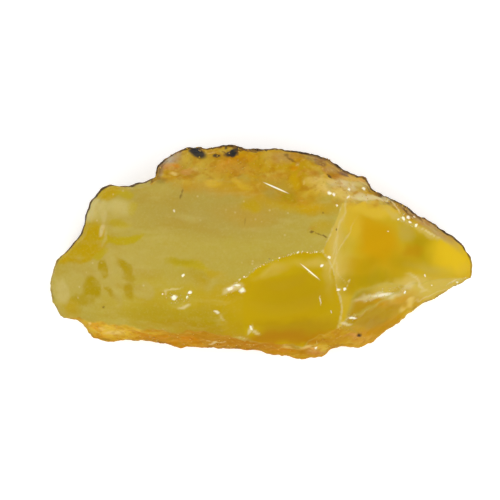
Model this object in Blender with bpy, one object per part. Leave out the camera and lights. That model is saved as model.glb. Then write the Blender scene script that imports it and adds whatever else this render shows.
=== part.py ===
"""A rough piece of honey opal, lying on its flat side.

The stone is made the way the real one was, by breaking pieces off a block. The block has the outline
of the stone, and one cutting tool takes off the waste above each fracture face. A glassy face is a
smooth hollow with faint ripples round the point that was struck. The skin of host rock, along the
back, along the front and underneath, is a lumpy face. Small round tools then make the chips and pits.

Lengths are in millimetres up to the mesh, which is in metres. +X runs from the blunt end to the
pointed end, +Y to the back, and +Z up. The origin is under the middle of the stone, on the surface
that it rests on. A direction in plan is in degrees, from +X towards +Y.
"""

import math
from typing import NamedTuple

import bmesh
import bpy
from mathutils import Matrix, Vector, noise

MM = 0.001

# Driving dimensions.
LENGTH = 50.6
WIDTH = 25.5
HEIGHT = 15.0
WAIST = 5.2  # the height of the stone's widest slice

SPARE = 1.5  # how far the block reaches past the stone, above and below
TAPER = 0.035  # share of its size that a slice loses at TAPER_SPAN above or below the waist
TAPER_SPAN = 5.0
WALL_STEP = 1.2  # between slices of the block, and between points round its wall
WALL_ROUGH = 0.25
ROUGH_GRAIN = 2.4  # the size of the lumps on a rough face
ROUGH_OCTAVES = 3
PITCH = 0.95  # between points on a cutting tool's face
TOOL_DEPTH = 10.0
DIMPLE_GRAIN = 0.5  # the length of an edge on a round tool
MERGE = 0.01  # points this close together are one

HONEY = (0.47, 0.31, 0.015, 1.0)

# The stone's edge seen from above, from the blunt end round by the back: x and y.
OUTLINE = [
    (-25.35, -4.6), (-25.2, -3.4), (-24.9, -2.15), (-24.5, -1.15), (-23.05, 0.35), (-21.65, 2.2),
    (-21.2, 3.45), (-21.1, 4.45), (-20.6, 5.95), (-19.35, 7.55), (-18.35, 8.05), (-15.9, 7.9),
    (-14.1, 8.3), (-12.75, 9.1), (-12.5, 10.25), (-11.35, 11.2), (-9.75, 12.2), (-8.8, 12.8),
    (-6.6, 12.3), (-4.6, 12.85), (-2.9, 12.7), (-1.9, 12.35), (2.3, 12.5), (5.35, 11.95),
    (7.95, 11.2), (9.5, 10.05), (10.85, 9.2), (12.45, 8.8), (13.2, 7.5), (14.6, 6.75), (16.9, 6.0),
    (18.9, 5.05), (22.2, 2.75), (24.0, 1.05), (25.15, -0.65), (25.35, -2.3), (25.3, -3.05),
    (24.55, -3.9), (23.25, -4.3), (22.5, -5.05), (19.5, -5.95), (18.3, -7.05), (16.5, -8.55),
    (14.45, -9.9), (12.95, -11.0), (11.7, -11.6), (9.4, -11.25), (8.3, -11.65), (7.1, -12.8),
    (4.85, -12.8), (1.4, -12.5), (0.0, -11.95), (-2.6, -11.65), (-9.7, -11.5), (-11.2, -11.0),
    (-15.6, -10.65), (-19.6, -10.95), (-20.35, -10.2), (-21.35, -8.7), (-22.15, -8.05),
    (-24.15, -7.75), (-25.05, -6.15),
]


class Face(NamedTuple):
    """One broken or natural face of the stone, and so the tool that cuts it.

    tilt is the angle between the face's outward direction and straight up, and towards is that
    direction in plan. along is the plan direction of the face's first axis, if it isn't towards.
    reach is how far the tool goes from at, each way along the first axis and across it. bend and
    across are the radii of a hollow along the first axis and across it, negative for a crown. roll
    is the radius at which the face falls away along its first axis, on that side only.
    """

    name: str
    at: tuple[float, float, float]
    tilt: float
    towards: float
    reach: tuple[float, float]
    along: float | None = None
    bend: float = math.inf
    across: float = math.inf
    roll: float = math.inf
    ripple: float = 0.0
    wave: float = 3.2
    struck: tuple[float, float] = (0.0, 0.0)
    rough: float = 0.0

    def axes(self):
        """The face's first axis, its second, and its outward direction."""
        tilt, towards = math.radians(self.tilt), math.radians(self.towards)
        out = Vector((math.sin(tilt) * math.cos(towards), math.sin(tilt) * math.sin(towards), math.cos(tilt)))
        plan = math.radians(self.towards if self.along is None else self.along)
        first = Vector((math.cos(plan), math.sin(plan), 0.0))
        first = (first - out * first.dot(out)).normalized()
        return first, out.cross(first), out

    def place(self):
        """Turns and moves a tool from its own axes to the stone's."""
        turn = Matrix(self.axes()).transposed()
        return Matrix.Translation(Vector(self.at)) @ turn.to_4x4()

    def is_flat(self):
        """Whether the face is a plane."""
        return not self.rough and not self.ripple and math.isinf(min(abs(self.bend), abs(self.across), self.roll))

    def height(self, u, v):
        """How far the smooth face stands out of its flat plane at a point on that plane."""
        curve = u * u / (2 * self.bend) + v * v / (2 * self.across) - max(u, 0.0) ** 2 / (2 * self.roll)
        radius = math.hypot(u - self.struck[0], v - self.struck[1])
        return curve + self.ripple * math.sin(2 * math.pi * radius / self.wave)

    def excess(self, point):
        """How far a point stands out of the smooth face, measured along its outward direction."""
        first, second, out = self.axes()
        offset = point - Vector(self.at)
        return offset.dot(out) - self.height(offset.dot(first), offset.dot(second))


class Dimple(NamedTuple):
    """A small round chip or pit, by its place in plan, its width and its depth."""

    name: str
    x: float
    y: float
    width: float
    depth: float


FACES = [
    # Glassy faces on top. The broad one is the back of the block, and two hollows meet it at a crest.
    Face("main", (-5.9, 0.6, 13.65), 6.4, 153, (14, 21), along=90, bend=-30),
    Face("front_roll", (-10, -4.9, 13.0), 14, 245, (9, 17), along=270, roll=11),
    Face("scoop", (4.9, 0.0, 14.8), 36, 269, (15, 18), bend=55, across=21.5, ripple=0.06, struck=(1.5, -2.5)),
    Face("right", (14.7, -2.4, 10.6), 26, -24, (15, 12), bend=72, across=-22, ripple=0.05),
    Face("under_right", (12.8, -5.1, 10.3), 41, -50, (12, 12), bend=34, across=19),
    Face("tip_ledge", (20.5, -3.2, 8.3), 56, -68, (9, 20), bend=26, across=40, rough=0.16),
    Face("blunt_back", (-18.3, 3, 12.0), 33, 162, (10, 12)),
    Face("blunt_front", (-17, -3, 12.2), 15, 200, (11, 12), roll=14),
    Face("back_hollow", (2.6, 7.6, 12.4), 40, 80, (7, 8), bend=16, across=10, rough=0.14),
    # The skin along the back, the right-hand rim and the front.
    Face("back_left", (-10, 10.0, 11.3), 52, 96, (8, 14), rough=0.35),
    Face("back_middle", (-2, 8.4, 12.6), 38, 97, (8, 16), rough=0.35),
    Face("back_right", (9.2, 7.0, 13.2), 54, 62, (9, 12), rough=0.4),
    Face("rim", (16.9, 4.7, 9.9), 74, 55, (9, 14), rough=0.25),
    Face("front_left", (-15, -9.6, 9.0), 69, 261, (10, 15), rough=0.35),
    Face("front_middle", (-3, -10.9, 8.0), 74, 266, (10, 16), rough=0.35),
    Face("front_right", (7.8, -11.0, 7.0), 62, 287, (9, 12), rough=0.4),
    # The faces that turn under, from the back left round to the right, the front and the blunt end.
    Face("under_back_left", (-8, 12.2, 6.0), 130, 108, (12, 16), rough=0.35),
    Face("under_back", (2, 12.2, 6.5), 124, 86, (12, 16), rough=0.35),
    Face("under_back_right", (12, 8.4, 5.5), 126, 58, (12, 16), rough=0.35),
    Face("under_rim", (20, 3.6, 4.0), 122, 52, (9, 14), rough=0.25),
    Face("under_tip", (25.2, -2, 4.8), 136, -5, (9, 10), bend=25, ripple=0.05),
    Face("under_front_right", (18, -6.8, 4.0), 124, -50, (9, 16), bend=30, ripple=0.06),
    Face("under_front", (4, -12.4, 3.2), 118, -86, (9, 17), rough=0.35),
    Face("under_front_left", (-14, -10.7, 3.6), 124, -102, (9, 17), bend=40, rough=0.3),
    Face("under_blunt", (-25.1, -4, 5.6), 132, 192, (12, 14), bend=30, ripple=0.06),
    Face("under_blunt_back", (-21.5, 3.2, 5.6), 126, 140, (12, 14), ripple=0.05),
    # The underside: shallow hollows round the flat side that the stone rests on.
    Face("sole_blunt", (-12.5, -1.5, 0), 169, 188, (14, 15), bend=60, ripple=0.05),
    Face("sole_tip", (13.5, -0.5, 0), 167, 8, (14, 15), bend=50, across=60, rough=0.15),
    Face("sole_back", (1.5, 6.0, 0), 163, 96, (8, 22), across=60, rough=0.25),
    Face("sole_front", (-1.0, -6.6, 0), 164, 264, (8, 22), across=70, rough=0.25),
    Face("base", (0, 0, 0), 180, 0, (28, 16)),
]

DIMPLES = [
    Dimple("eye", -10.3, -5.4, 2.8, 0.40),
    Dimple("eye_corner", -8.9, -5.2, 1.7, 0.22),
    Dimple("crushed_spot", -3.1, -4.4, 2.6, 0.22),
    Dimple("arc_chip", 1.9, -1.3, 2.4, 0.12),
    Dimple("junction_chip", 7.7, -0.9, 2.6, 0.16),
    Dimple("crest_foot_chip", 9.8, -5.4, 3.0, 0.18),
    Dimple("low_ledge_chip", 10.4, -8.4, 2.4, 0.25),
    Dimple("rim_chip", 17.2, 3.9, 3.0, 0.30),
    Dimple("dark_hole", 11.7, -10.0, 0.9, 0.45),
    Dimple("front_pit", 5.4, -12.0, 2.0, 0.45),
    Dimple("front_left_pit", -17.6, -9.6, 2.4, 0.35),
    Dimple("back_pit", 8.6, 9.6, 2.2, 0.40),
    Dimple("back_left_pit", -9.4, 10.6, 2.4, 0.35),
]


def clear_scene():
    """Removes the objects of the startup scene."""
    for item in list(bpy.data.objects):
        bpy.data.objects.remove(item)


def new_collection(name):
    """A new collection in the scene."""
    made = bpy.data.collections.new(name)
    bpy.context.scene.collection.children.link(made)
    return made


def lumps(point):
    """The lumpiness of a rough face at a point in millimetres, from about -1 to 1."""
    return noise.fractal(point / ROUGH_GRAIN, 1.0, 2.1, ROUGH_OCTAVES)


def object_of(sheet, name, collection):
    """An object that holds a bmesh given in millimetres, which it frees."""
    bmesh.ops.recalc_face_normals(sheet, faces=sheet.faces)
    if sheet.calc_volume(signed=True) < 0:
        bmesh.ops.reverse_faces(sheet, faces=sheet.faces)
    sheet.transform(Matrix.Scale(MM, 4))
    mesh = bpy.data.meshes.new(name)
    sheet.to_mesh(mesh)
    sheet.free()
    made = bpy.data.objects.new(name, mesh)
    collection.objects.link(made)
    return made


def outline_mesh():
    """The outline as a slab of the block's height, from a curve, with its caps welded to its sides."""
    curve = bpy.data.curves.new("outline", "CURVE")
    curve.dimensions = "2D"
    curve.fill_mode = "BOTH"
    curve.extrude = HEIGHT / 2 + SPARE
    spline = curve.splines.new("POLY")
    spline.points.add(len(OUTLINE) - 1)
    for point, (x, y) in zip(spline.points, OUTLINE):
        point.co = (x, y, 0.0, 1.0)
    spline.use_cyclic_u = True
    guide = bpy.data.objects.new("outline", curve)
    bpy.context.scene.collection.objects.link(guide)
    graph = bpy.context.evaluated_depsgraph_get()
    mesh = bpy.data.meshes.new_from_object(guide.evaluated_get(graph))
    bpy.data.objects.remove(guide)
    slab = bmesh.new()
    slab.from_mesh(mesh)
    bpy.data.meshes.remove(mesh)
    bmesh.ops.remove_doubles(slab, verts=slab.verts, dist=MERGE)
    bmesh.ops.translate(slab, verts=slab.verts, vec=(0, 0, HEIGHT / 2))
    return slab


def slice_size(z):
    """The size of the block's slice at a height, as a share of the widest slice."""
    return 1.0 - TAPER * ((z - WAIST) / TAPER_SPAN) ** 2


def block(collection):
    """The block that the stone is broken from: the outline, barrel-sided and with a lumpy wall."""
    slab = outline_mesh()
    long_edges = [e for e in slab.edges if e.calc_length() > 1.5 * WALL_STEP and is_level(e) and on_outline(e)]
    for edge in long_edges:
        cuts = round(edge.calc_length() / WALL_STEP) - 1
        bmesh.ops.subdivide_edges(slab, edges=[edge], cuts=cuts)
    levels = round((HEIGHT + 2 * SPARE) / WALL_STEP)
    for level in range(1, levels):
        height = level * WALL_STEP - SPARE
        everything = slab.verts[:] + slab.edges[:] + slab.faces[:]
        bmesh.ops.bisect_plane(slab, geom=everything, plane_co=(0, 0, height), plane_no=(0, 0, 1))
    for vertex in slab.verts:
        lump = lumps(vertex.co)
        outwards = Vector((vertex.co.x / LENGTH, vertex.co.y / WIDTH, 0.0)).normalized()
        size = slice_size(vertex.co.z)
        vertex.co = Vector((vertex.co.x * size, vertex.co.y * size, vertex.co.z)) + outwards * lump * WALL_ROUGH
    return object_of(slab, "honey_opal", collection)


def is_level(edge):
    """Whether an edge of the block lies level."""
    return abs(edge.verts[0].co.z - edge.verts[1].co.z) < MERGE


def on_outline(edge):
    """Whether an edge of the slab is where its wall meets a cap."""
    return len({abs(round(face.normal.z)) for face in edge.link_faces}) == 2


def face_tool(face, collection):
    """The tool that takes off everything above a face."""
    sheet = bmesh.new()
    columns, rows = (1, 1) if face.is_flat() else (round(2 * reach / PITCH) for reach in face.reach)
    shape = Matrix.Diagonal((*face.reach, 1, 1))
    bmesh.ops.create_grid(sheet, x_segments=columns, y_segments=rows, size=1, matrix=shape)
    place = face.place()
    for vertex in sheet.verts:
        vertex.co.z = face.height(vertex.co.x, vertex.co.y)
        if face.rough:
            vertex.co.z += face.rough * lumps(place @ vertex.co)
    rim = [edge for edge in sheet.edges if edge.is_boundary]
    for item in bmesh.ops.extrude_edge_only(sheet, edges=rim)["geom"]:
        if isinstance(item, bmesh.types.BMVert):
            item.co.z = TOOL_DEPTH
    bmesh.ops.contextual_create(sheet, geom=[edge for edge in sheet.edges if edge.is_boundary])
    sheet.transform(place)
    return object_of(sheet, face.name, collection)


def surface_point(x, y):
    """The point of the top at a place in plan, and the direction that it faces."""
    point = Vector((x, y, HEIGHT + SPARE))
    for _ in range(40):
        over, face = max((face.excess(point), face.name) for face in FACES)
        point.z -= over
    step = 0.01
    slopes = [
        max(face.excess(point + axis * step) for face in FACES) - max(face.excess(point) for face in FACES)
        for axis in (Vector((1, 0, 0)), Vector((0, 1, 0)), Vector((0, 0, 1)))
    ]
    return point, Vector(slopes).normalized()


def dimple_tool(dimple, collection):
    """A ball that bites into the top as wide and as deep as the dimple."""
    radius = ((dimple.width / 2) ** 2 + dimple.depth**2) / (2 * dimple.depth)
    point, out = surface_point(dimple.x, dimple.y)
    ball = bmesh.new()
    fineness = max(2, min(5, round(math.log2(radius / DIMPLE_GRAIN)) + 1))
    bmesh.ops.create_icosphere(ball, subdivisions=fineness, radius=radius)
    bmesh.ops.translate(ball, verts=ball.verts, vec=point + out * (radius - dimple.depth))
    return object_of(ball, dimple.name, collection)


def cut(stone, tools):
    """Takes the shapes of all the tools in a collection off the stone."""
    for tool in tools.objects:
        tool.hide_render = True
        tool.display_type = "WIRE"
    boolean = stone.modifiers.new("fractures", "BOOLEAN")
    boolean.operation = "DIFFERENCE"
    boolean.solver = "EXACT"
    boolean.operand_type = "COLLECTION"
    boolean.collection = tools


def opal():
    """Opal's material: a glassy honey yellow."""
    material = bpy.data.materials.new("honey_opal")
    material.use_nodes = True
    shader = material.node_tree.nodes["Principled BSDF"]
    shader.inputs["Base Color"].default_value = HONEY
    shader.inputs["Roughness"].default_value = 0.15
    shader.inputs["Metallic"].default_value = 0.0
    shader.inputs["IOR"].default_value = 1.45
    return material


def main():
    """Builds the stone."""
    clear_scene()
    stones, tools = new_collection("rough_honey_opal"), new_collection("tools")
    stone = block(stones)
    stone.data.materials.append(opal())
    for face in FACES:
        face_tool(face, tools)
    for dimple in DIMPLES:
        dimple_tool(dimple, tools)
    cut(stone, tools)


main()
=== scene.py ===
"""Dresses the rough honey opal and sets it on a pale studio floor.

The stone is one natural piece. Its fine surface is worked out from the same fracture faces as the solid
has, then roughened and chipped where a broken mineral is. Lengths are in millimetres until a mesh is
stored in metres. +X runs from the blunt end to the pointed end, +Y to the back and +Z up.
"""

import logging
import math
from collections.abc import Sequence
from dataclasses import dataclass, field
from enum import Enum
from functools import cached_property

import bmesh
import bpy
import numpy as np
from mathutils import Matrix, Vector, noise

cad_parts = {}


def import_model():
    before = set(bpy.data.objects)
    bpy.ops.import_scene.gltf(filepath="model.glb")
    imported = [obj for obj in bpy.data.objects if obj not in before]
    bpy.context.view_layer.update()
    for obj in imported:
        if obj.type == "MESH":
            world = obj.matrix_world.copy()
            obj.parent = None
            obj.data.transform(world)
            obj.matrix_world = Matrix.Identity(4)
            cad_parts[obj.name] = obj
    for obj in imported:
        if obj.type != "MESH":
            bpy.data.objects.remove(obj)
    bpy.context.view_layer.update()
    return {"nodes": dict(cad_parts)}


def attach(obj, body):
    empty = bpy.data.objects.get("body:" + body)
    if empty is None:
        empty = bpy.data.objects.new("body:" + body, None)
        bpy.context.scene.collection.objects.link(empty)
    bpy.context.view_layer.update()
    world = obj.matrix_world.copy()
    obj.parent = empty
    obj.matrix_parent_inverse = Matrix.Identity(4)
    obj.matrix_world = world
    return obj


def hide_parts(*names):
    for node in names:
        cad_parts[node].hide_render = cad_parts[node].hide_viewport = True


log = logging.getLogger("honey_opal")

# A millimetre in metres, and the stone's height in millimetres.
MM = 0.001
HEIGHT = 15.0
Array = np.ndarray
Colour = tuple[float, float, float]
Corner = tuple[float, float, float]
Pair = tuple[float, float]
Mesh = bpy.types.Mesh
Object = bpy.types.Object
Socket = bpy.types.NodeSocket


def linear(red: int, green: int, blue: int) -> Colour:
    """Turns a display colour, from 0 to 255 a channel, into the linear one that a shader works in."""
    shares = [value / 255.0 for value in (red, green, blue)]
    return tuple(s / 12.92 if s <= 0.04045 else ((s + 0.055) / 1.055) ** 2.4 for s in shares)


def smooth_step(values: Array, low: float, high: float) -> Array:
    """Eases values from 0 at low to 1 at high. low may be above high, for a falling step."""
    share = np.clip((values - low) / (high - low), 0.0, 1.0)
    return share * share * (3.0 - 2.0 * share)


def lumps_at(points: Array, grain: float, octaves: int) -> Array:
    """Fractal noise at points, from about -1 to 1. grain is the size of its largest lumps."""
    falloff, fineness = 1.0, 2.1
    return np.array([noise.fractal(Vector(p), falloff, fineness, octaves) for p in points / grain])


def placed(name: str, data: bpy.types.ID) -> Object:
    """Makes an object and puts it in the scene.

    Args:
        name: The object's name.
        data: Its mesh, lamp or camera.

    Returns:
        The object.
    """
    made = bpy.data.objects.new(name, data)
    bpy.context.scene.collection.objects.link(made)
    return made


def settled(holder: Object) -> Mesh:
    """Takes the mesh that an object's modifiers make, and removes the object.

    Args:
        holder: The object.

    Returns:
        The plain mesh.
    """
    graph = bpy.context.evaluated_depsgraph_get()
    mesh = bpy.data.meshes.new_from_object(holder.evaluated_get(graph))
    bpy.data.objects.remove(holder)
    return mesh


def rows_from(mesh: Mesh, name: str) -> Array:
    """Reads a vector of every vertex.

    Args:
        mesh: The mesh.
        name: The vector's name, such as co or normal.

    Returns:
        One vector a row.
    """
    flat = np.empty(len(mesh.vertices) * 3, np.float32)
    mesh.vertices.foreach_get(name, flat)
    return flat.reshape(-1, 3).astype(float)


def store_mark(mesh: Mesh, name: str, values: Array) -> None:
    """Stores a number at every vertex."""
    mesh.attributes.new(name, "FLOAT", "POINT").data.foreach_set("value", values.astype(np.float32))


# ---------------------------------------------------------------------------------------------------
# The stone's surface
# ---------------------------------------------------------------------------------------------------


class Skin(Enum):
    """What a face of the stone is made of."""

    GLASS = "clean fracture"
    HACKLE = "torn fracture"
    RIND = "host rock"


@dataclass(frozen=True)
class Fracture:
    """One face of the stone: a plane that is hollowed, crowned, rolled, rippled or roughened.

    tilt is the angle from straight up and towards is the plan direction that the face looks in.
    bend and across are the radii of a hollow along the first axis and across it, negative for a crown.
    """

    name: str
    skin: Skin
    at: Corner
    tilt: float
    towards: float
    along: float | None = None
    bend: float = math.inf
    across: float = math.inf
    roll: float = math.inf
    ripple: float = 0.0
    wave: float = 3.2
    struck: Pair = (0.0, 0.0)
    rough: float = 0.0

    def axes(self) -> Array:
        """The face's first axis, its second and its outward direction, as rows."""
        tilt, towards = math.radians(self.tilt), math.radians(self.towards)
        level = math.sin(tilt)
        out = np.array([level * math.cos(towards), level * math.sin(towards), math.cos(tilt)])
        plan = math.radians(self.towards if self.along is None else self.along)
        first = np.array([math.cos(plan), math.sin(plan), 0.0])
        first -= out * first.dot(out)
        first /= np.linalg.norm(first)
        return np.array([first, np.cross(out, first), out])

    def excess(self, points: Array, lumps: Array) -> Array:
        """How far points stand out of the face.

        Args:
            points: Points in millimetres.
            lumps: The coarse lumpiness at each point.

        Returns:
            The distance along the face's outward direction, positive outside the stone.
        """
        u, v, rise = ((points - np.array(self.at)) @ self.axes().T).T
        shape = u * u / (2 * self.bend) + v * v / (2 * self.across)
        shape = shape - np.maximum(u, 0.0) ** 2 / (2 * self.roll)
        if self.ripple:
            radius = np.hypot(u - self.struck[0], v - self.struck[1])
            shape = shape + self.ripple * np.sin(2 * math.pi * radius / self.wave)
        return rise - shape - self.rough * lumps


@dataclass(frozen=True)
class Bite:
    """A small round chip or pit, by its place in plan, its width and its depth."""

    x: float
    y: float
    width: float
    depth: float

    @property
    def radius(self) -> float:
        """The radius of the ball that makes the bite."""
        return ((self.width / 2) ** 2 + self.depth**2) / (2 * self.depth)


FRACTURES = [
    Fracture("main", Skin.GLASS, (-5.9, 0.6, 13.65), 6.4, 153, along=90, bend=-30),
    Fracture("front_roll", Skin.GLASS, (-10, -4.9, 13.0), 14, 245, along=270, roll=11),
    Fracture(
        "scoop", Skin.GLASS, (4.9, 0.0, 14.8), 36, 269, bend=55, across=21.5, ripple=0.06, struck=(1.5, -2.5)
    ),
    Fracture("right", Skin.GLASS, (14.7, -2.4, 10.6), 26, -24, bend=72, across=-22, ripple=0.05),
    Fracture("under_right", Skin.GLASS, (12.8, -5.1, 10.3), 41, -50, bend=34, across=19),
    Fracture("tip_ledge", Skin.HACKLE, (20.5, -3.2, 8.3), 56, -68, bend=26, across=40, rough=0.16),
    Fracture("blunt_back", Skin.GLASS, (-18.3, 3, 12.0), 33, 162),
    Fracture("blunt_front", Skin.GLASS, (-17, -3, 12.2), 15, 200, roll=14),
    Fracture("back_hollow", Skin.HACKLE, (2.6, 7.6, 12.4), 40, 80, bend=16, across=10, rough=0.14),
    Fracture("back_left", Skin.RIND, (-10, 10.0, 11.3), 52, 96, rough=0.35),
    Fracture("back_middle", Skin.RIND, (-2, 8.4, 12.6), 38, 97, rough=0.35),
    Fracture("back_right", Skin.RIND, (9.2, 7.0, 13.2), 54, 62, rough=0.4),
    Fracture("rim", Skin.RIND, (16.9, 4.7, 9.9), 74, 55, rough=0.25),
    Fracture("front_left", Skin.RIND, (-15, -9.6, 9.0), 69, 261, rough=0.35),
    Fracture("front_middle", Skin.RIND, (-3, -10.9, 8.0), 74, 266, rough=0.35),
    Fracture("front_right", Skin.RIND, (7.8, -11.0, 7.0), 62, 287, rough=0.4),
    Fracture("under_back_left", Skin.RIND, (-8, 12.2, 6.0), 130, 108, rough=0.35),
    Fracture("under_back", Skin.RIND, (2, 12.2, 6.5), 124, 86, rough=0.35),
    Fracture("under_back_right", Skin.RIND, (12, 8.4, 5.5), 126, 58, rough=0.35),
    Fracture("under_rim", Skin.RIND, (20, 3.6, 4.0), 122, 52, rough=0.25),
    Fracture("under_tip", Skin.GLASS, (25.2, -2, 4.8), 136, -5, bend=25, ripple=0.05),
    Fracture("under_front_right", Skin.GLASS, (18, -6.8, 4.0), 124, -50, bend=30, ripple=0.06),
    Fracture("under_front", Skin.RIND, (4, -12.4, 3.2), 118, -86, rough=0.35),
    Fracture("under_front_left", Skin.RIND, (-14, -10.7, 3.6), 124, -102, bend=40, rough=0.3),
    Fracture("under_blunt", Skin.GLASS, (-25.1, -4, 5.6), 132, 192, bend=30, ripple=0.06),
    Fracture("under_blunt_back", Skin.GLASS, (-21.5, 3.2, 5.6), 126, 140, ripple=0.05),
    Fracture("sole_blunt", Skin.GLASS, (-12.5, -1.5, 0), 169, 188, bend=60, ripple=0.05),
    Fracture("sole_tip", Skin.HACKLE, (13.5, -0.5, 0), 167, 8, bend=50, across=60, rough=0.15),
    Fracture("sole_back", Skin.RIND, (1.5, 6.0, 0), 163, 96, across=60, rough=0.25),
    Fracture("sole_front", Skin.RIND, (-1.0, -6.6, 0), 164, 264, across=70, rough=0.25),
    Fracture("base", Skin.GLASS, (0, 0, 0), 180, 0),
]

BITES = [
    # The eye and the chip at its corner, and the crushed spot.
    Bite(-10.3, -5.4, 2.8, 0.40),
    Bite(-8.9, -5.2, 1.7, 0.22),
    Bite(-3.1, -4.4, 2.6, 0.22),
    # Chips on the ridges: the arc, its junction with the crest, the crest's foot, the ledge and the rim.
    Bite(1.9, -1.3, 2.4, 0.12),
    Bite(7.7, -0.9, 2.6, 0.16),
    Bite(9.8, -5.4, 3.0, 0.18),
    Bite(10.4, -8.4, 2.4, 0.25),
    Bite(17.2, 3.9, 3.0, 0.30),
    # Pits in the skin: the dark hole, then along the front and the back.
    Bite(11.7, -10.0, 0.9, 0.45),
    Bite(5.4, -12.0, 2.0, 0.45),
    Bite(-17.6, -9.6, 2.4, 0.35),
    Bite(8.6, 9.6, 2.2, 0.40),
    Bite(-9.4, 10.6, 2.4, 0.35),
]

# The stone's edge seen from above, from the blunt end round by the back: x and y.
OUTLINE = [
    (-25.35, -4.6), (-25.2, -3.4), (-24.9, -2.15), (-24.5, -1.15), (-23.05, 0.35), (-21.65, 2.2),
    (-21.2, 3.45), (-21.1, 4.45), (-20.6, 5.95), (-19.35, 7.55), (-18.35, 8.05), (-15.9, 7.9),
    (-14.1, 8.3), (-12.75, 9.1), (-12.5, 10.25), (-11.35, 11.2), (-9.75, 12.2), (-8.8, 12.8),
    (-6.6, 12.3), (-4.6, 12.85), (-2.9, 12.7), (-1.9, 12.35), (2.3, 12.5), (5.35, 11.95),
    (7.95, 11.2), (9.5, 10.05), (10.85, 9.2), (12.45, 8.8), (13.2, 7.5), (14.6, 6.75), (16.9, 6.0),
    (18.9, 5.05), (22.2, 2.75), (24.0, 1.05), (25.15, -0.65), (25.35, -2.3), (25.3, -3.05),
    (24.55, -3.9), (23.25, -4.3), (22.5, -5.05), (19.5, -5.95), (18.3, -7.05), (16.5, -8.55),
    (14.45, -9.9), (12.95, -11.0), (11.7, -11.6), (9.4, -11.25), (8.3, -11.65), (7.1, -12.8),
    (4.85, -12.8), (1.4, -12.5), (0.0, -11.95), (-2.6, -11.65), (-9.7, -11.5), (-11.2, -11.0),
    (-15.6, -10.65), (-19.6, -10.95), (-20.35, -10.2), (-21.35, -8.7), (-22.15, -8.05),
    (-24.15, -7.75), (-25.05, -6.15),
]  # fmt: skip


@dataclass(frozen=True)
class Wall:
    """The stone's barrel-sided wall, which follows the outline.

    waist is the height of its widest slice, and taper the share that it narrows over each span.
    """

    waist: float = 5.2
    taper: float = 0.035
    span: float = 5.0
    rough: float = 0.25

    def excess(self, points: Array, lumps: Array) -> tuple[Array, Array]:
        """How far points stand out of the wall.

        Args:
            points: Points in millimetres.
            lumps: The coarse lumpiness at each point.

        Returns:
            The distance, positive outside, and the outward direction for each point.
        """
        far, level = 1e9, 1e-9
        size = 1.0 - self.taper * ((points[:, 2] - self.waist) / self.span) ** 2
        plan = points[:, :2] / size[:, None]
        corners = np.array(OUTLINE)
        best = np.full(len(plan), far)
        out = np.zeros_like(plan)
        inside = np.zeros(len(plan), bool)
        for start, end in zip(corners, np.roll(corners, -1, axis=0)):
            edge = end - start
            share = np.clip(((plan - start) @ edge) / edge.dot(edge), 0.0, 1.0)
            distance = np.hypot(*(plan - start - share[:, None] * edge).T)
            nearer = distance < best
            best[nearer] = distance[nearer]
            out[nearer] = np.array([-edge[1], edge[0]]) / np.linalg.norm(edge)
            crosses = (start[1] <= plan[:, 1]) != (end[1] <= plan[:, 1])
            at_x = start[0] + (plan[:, 1] - start[1]) / (edge[1] if edge[1] else level) * edge[0]
            inside ^= crosses & (plan[:, 0] < at_x)
        signed = np.where(inside, -best, best) - self.rough * lumps
        return signed, np.column_stack([out, np.zeros(len(out))])


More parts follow.
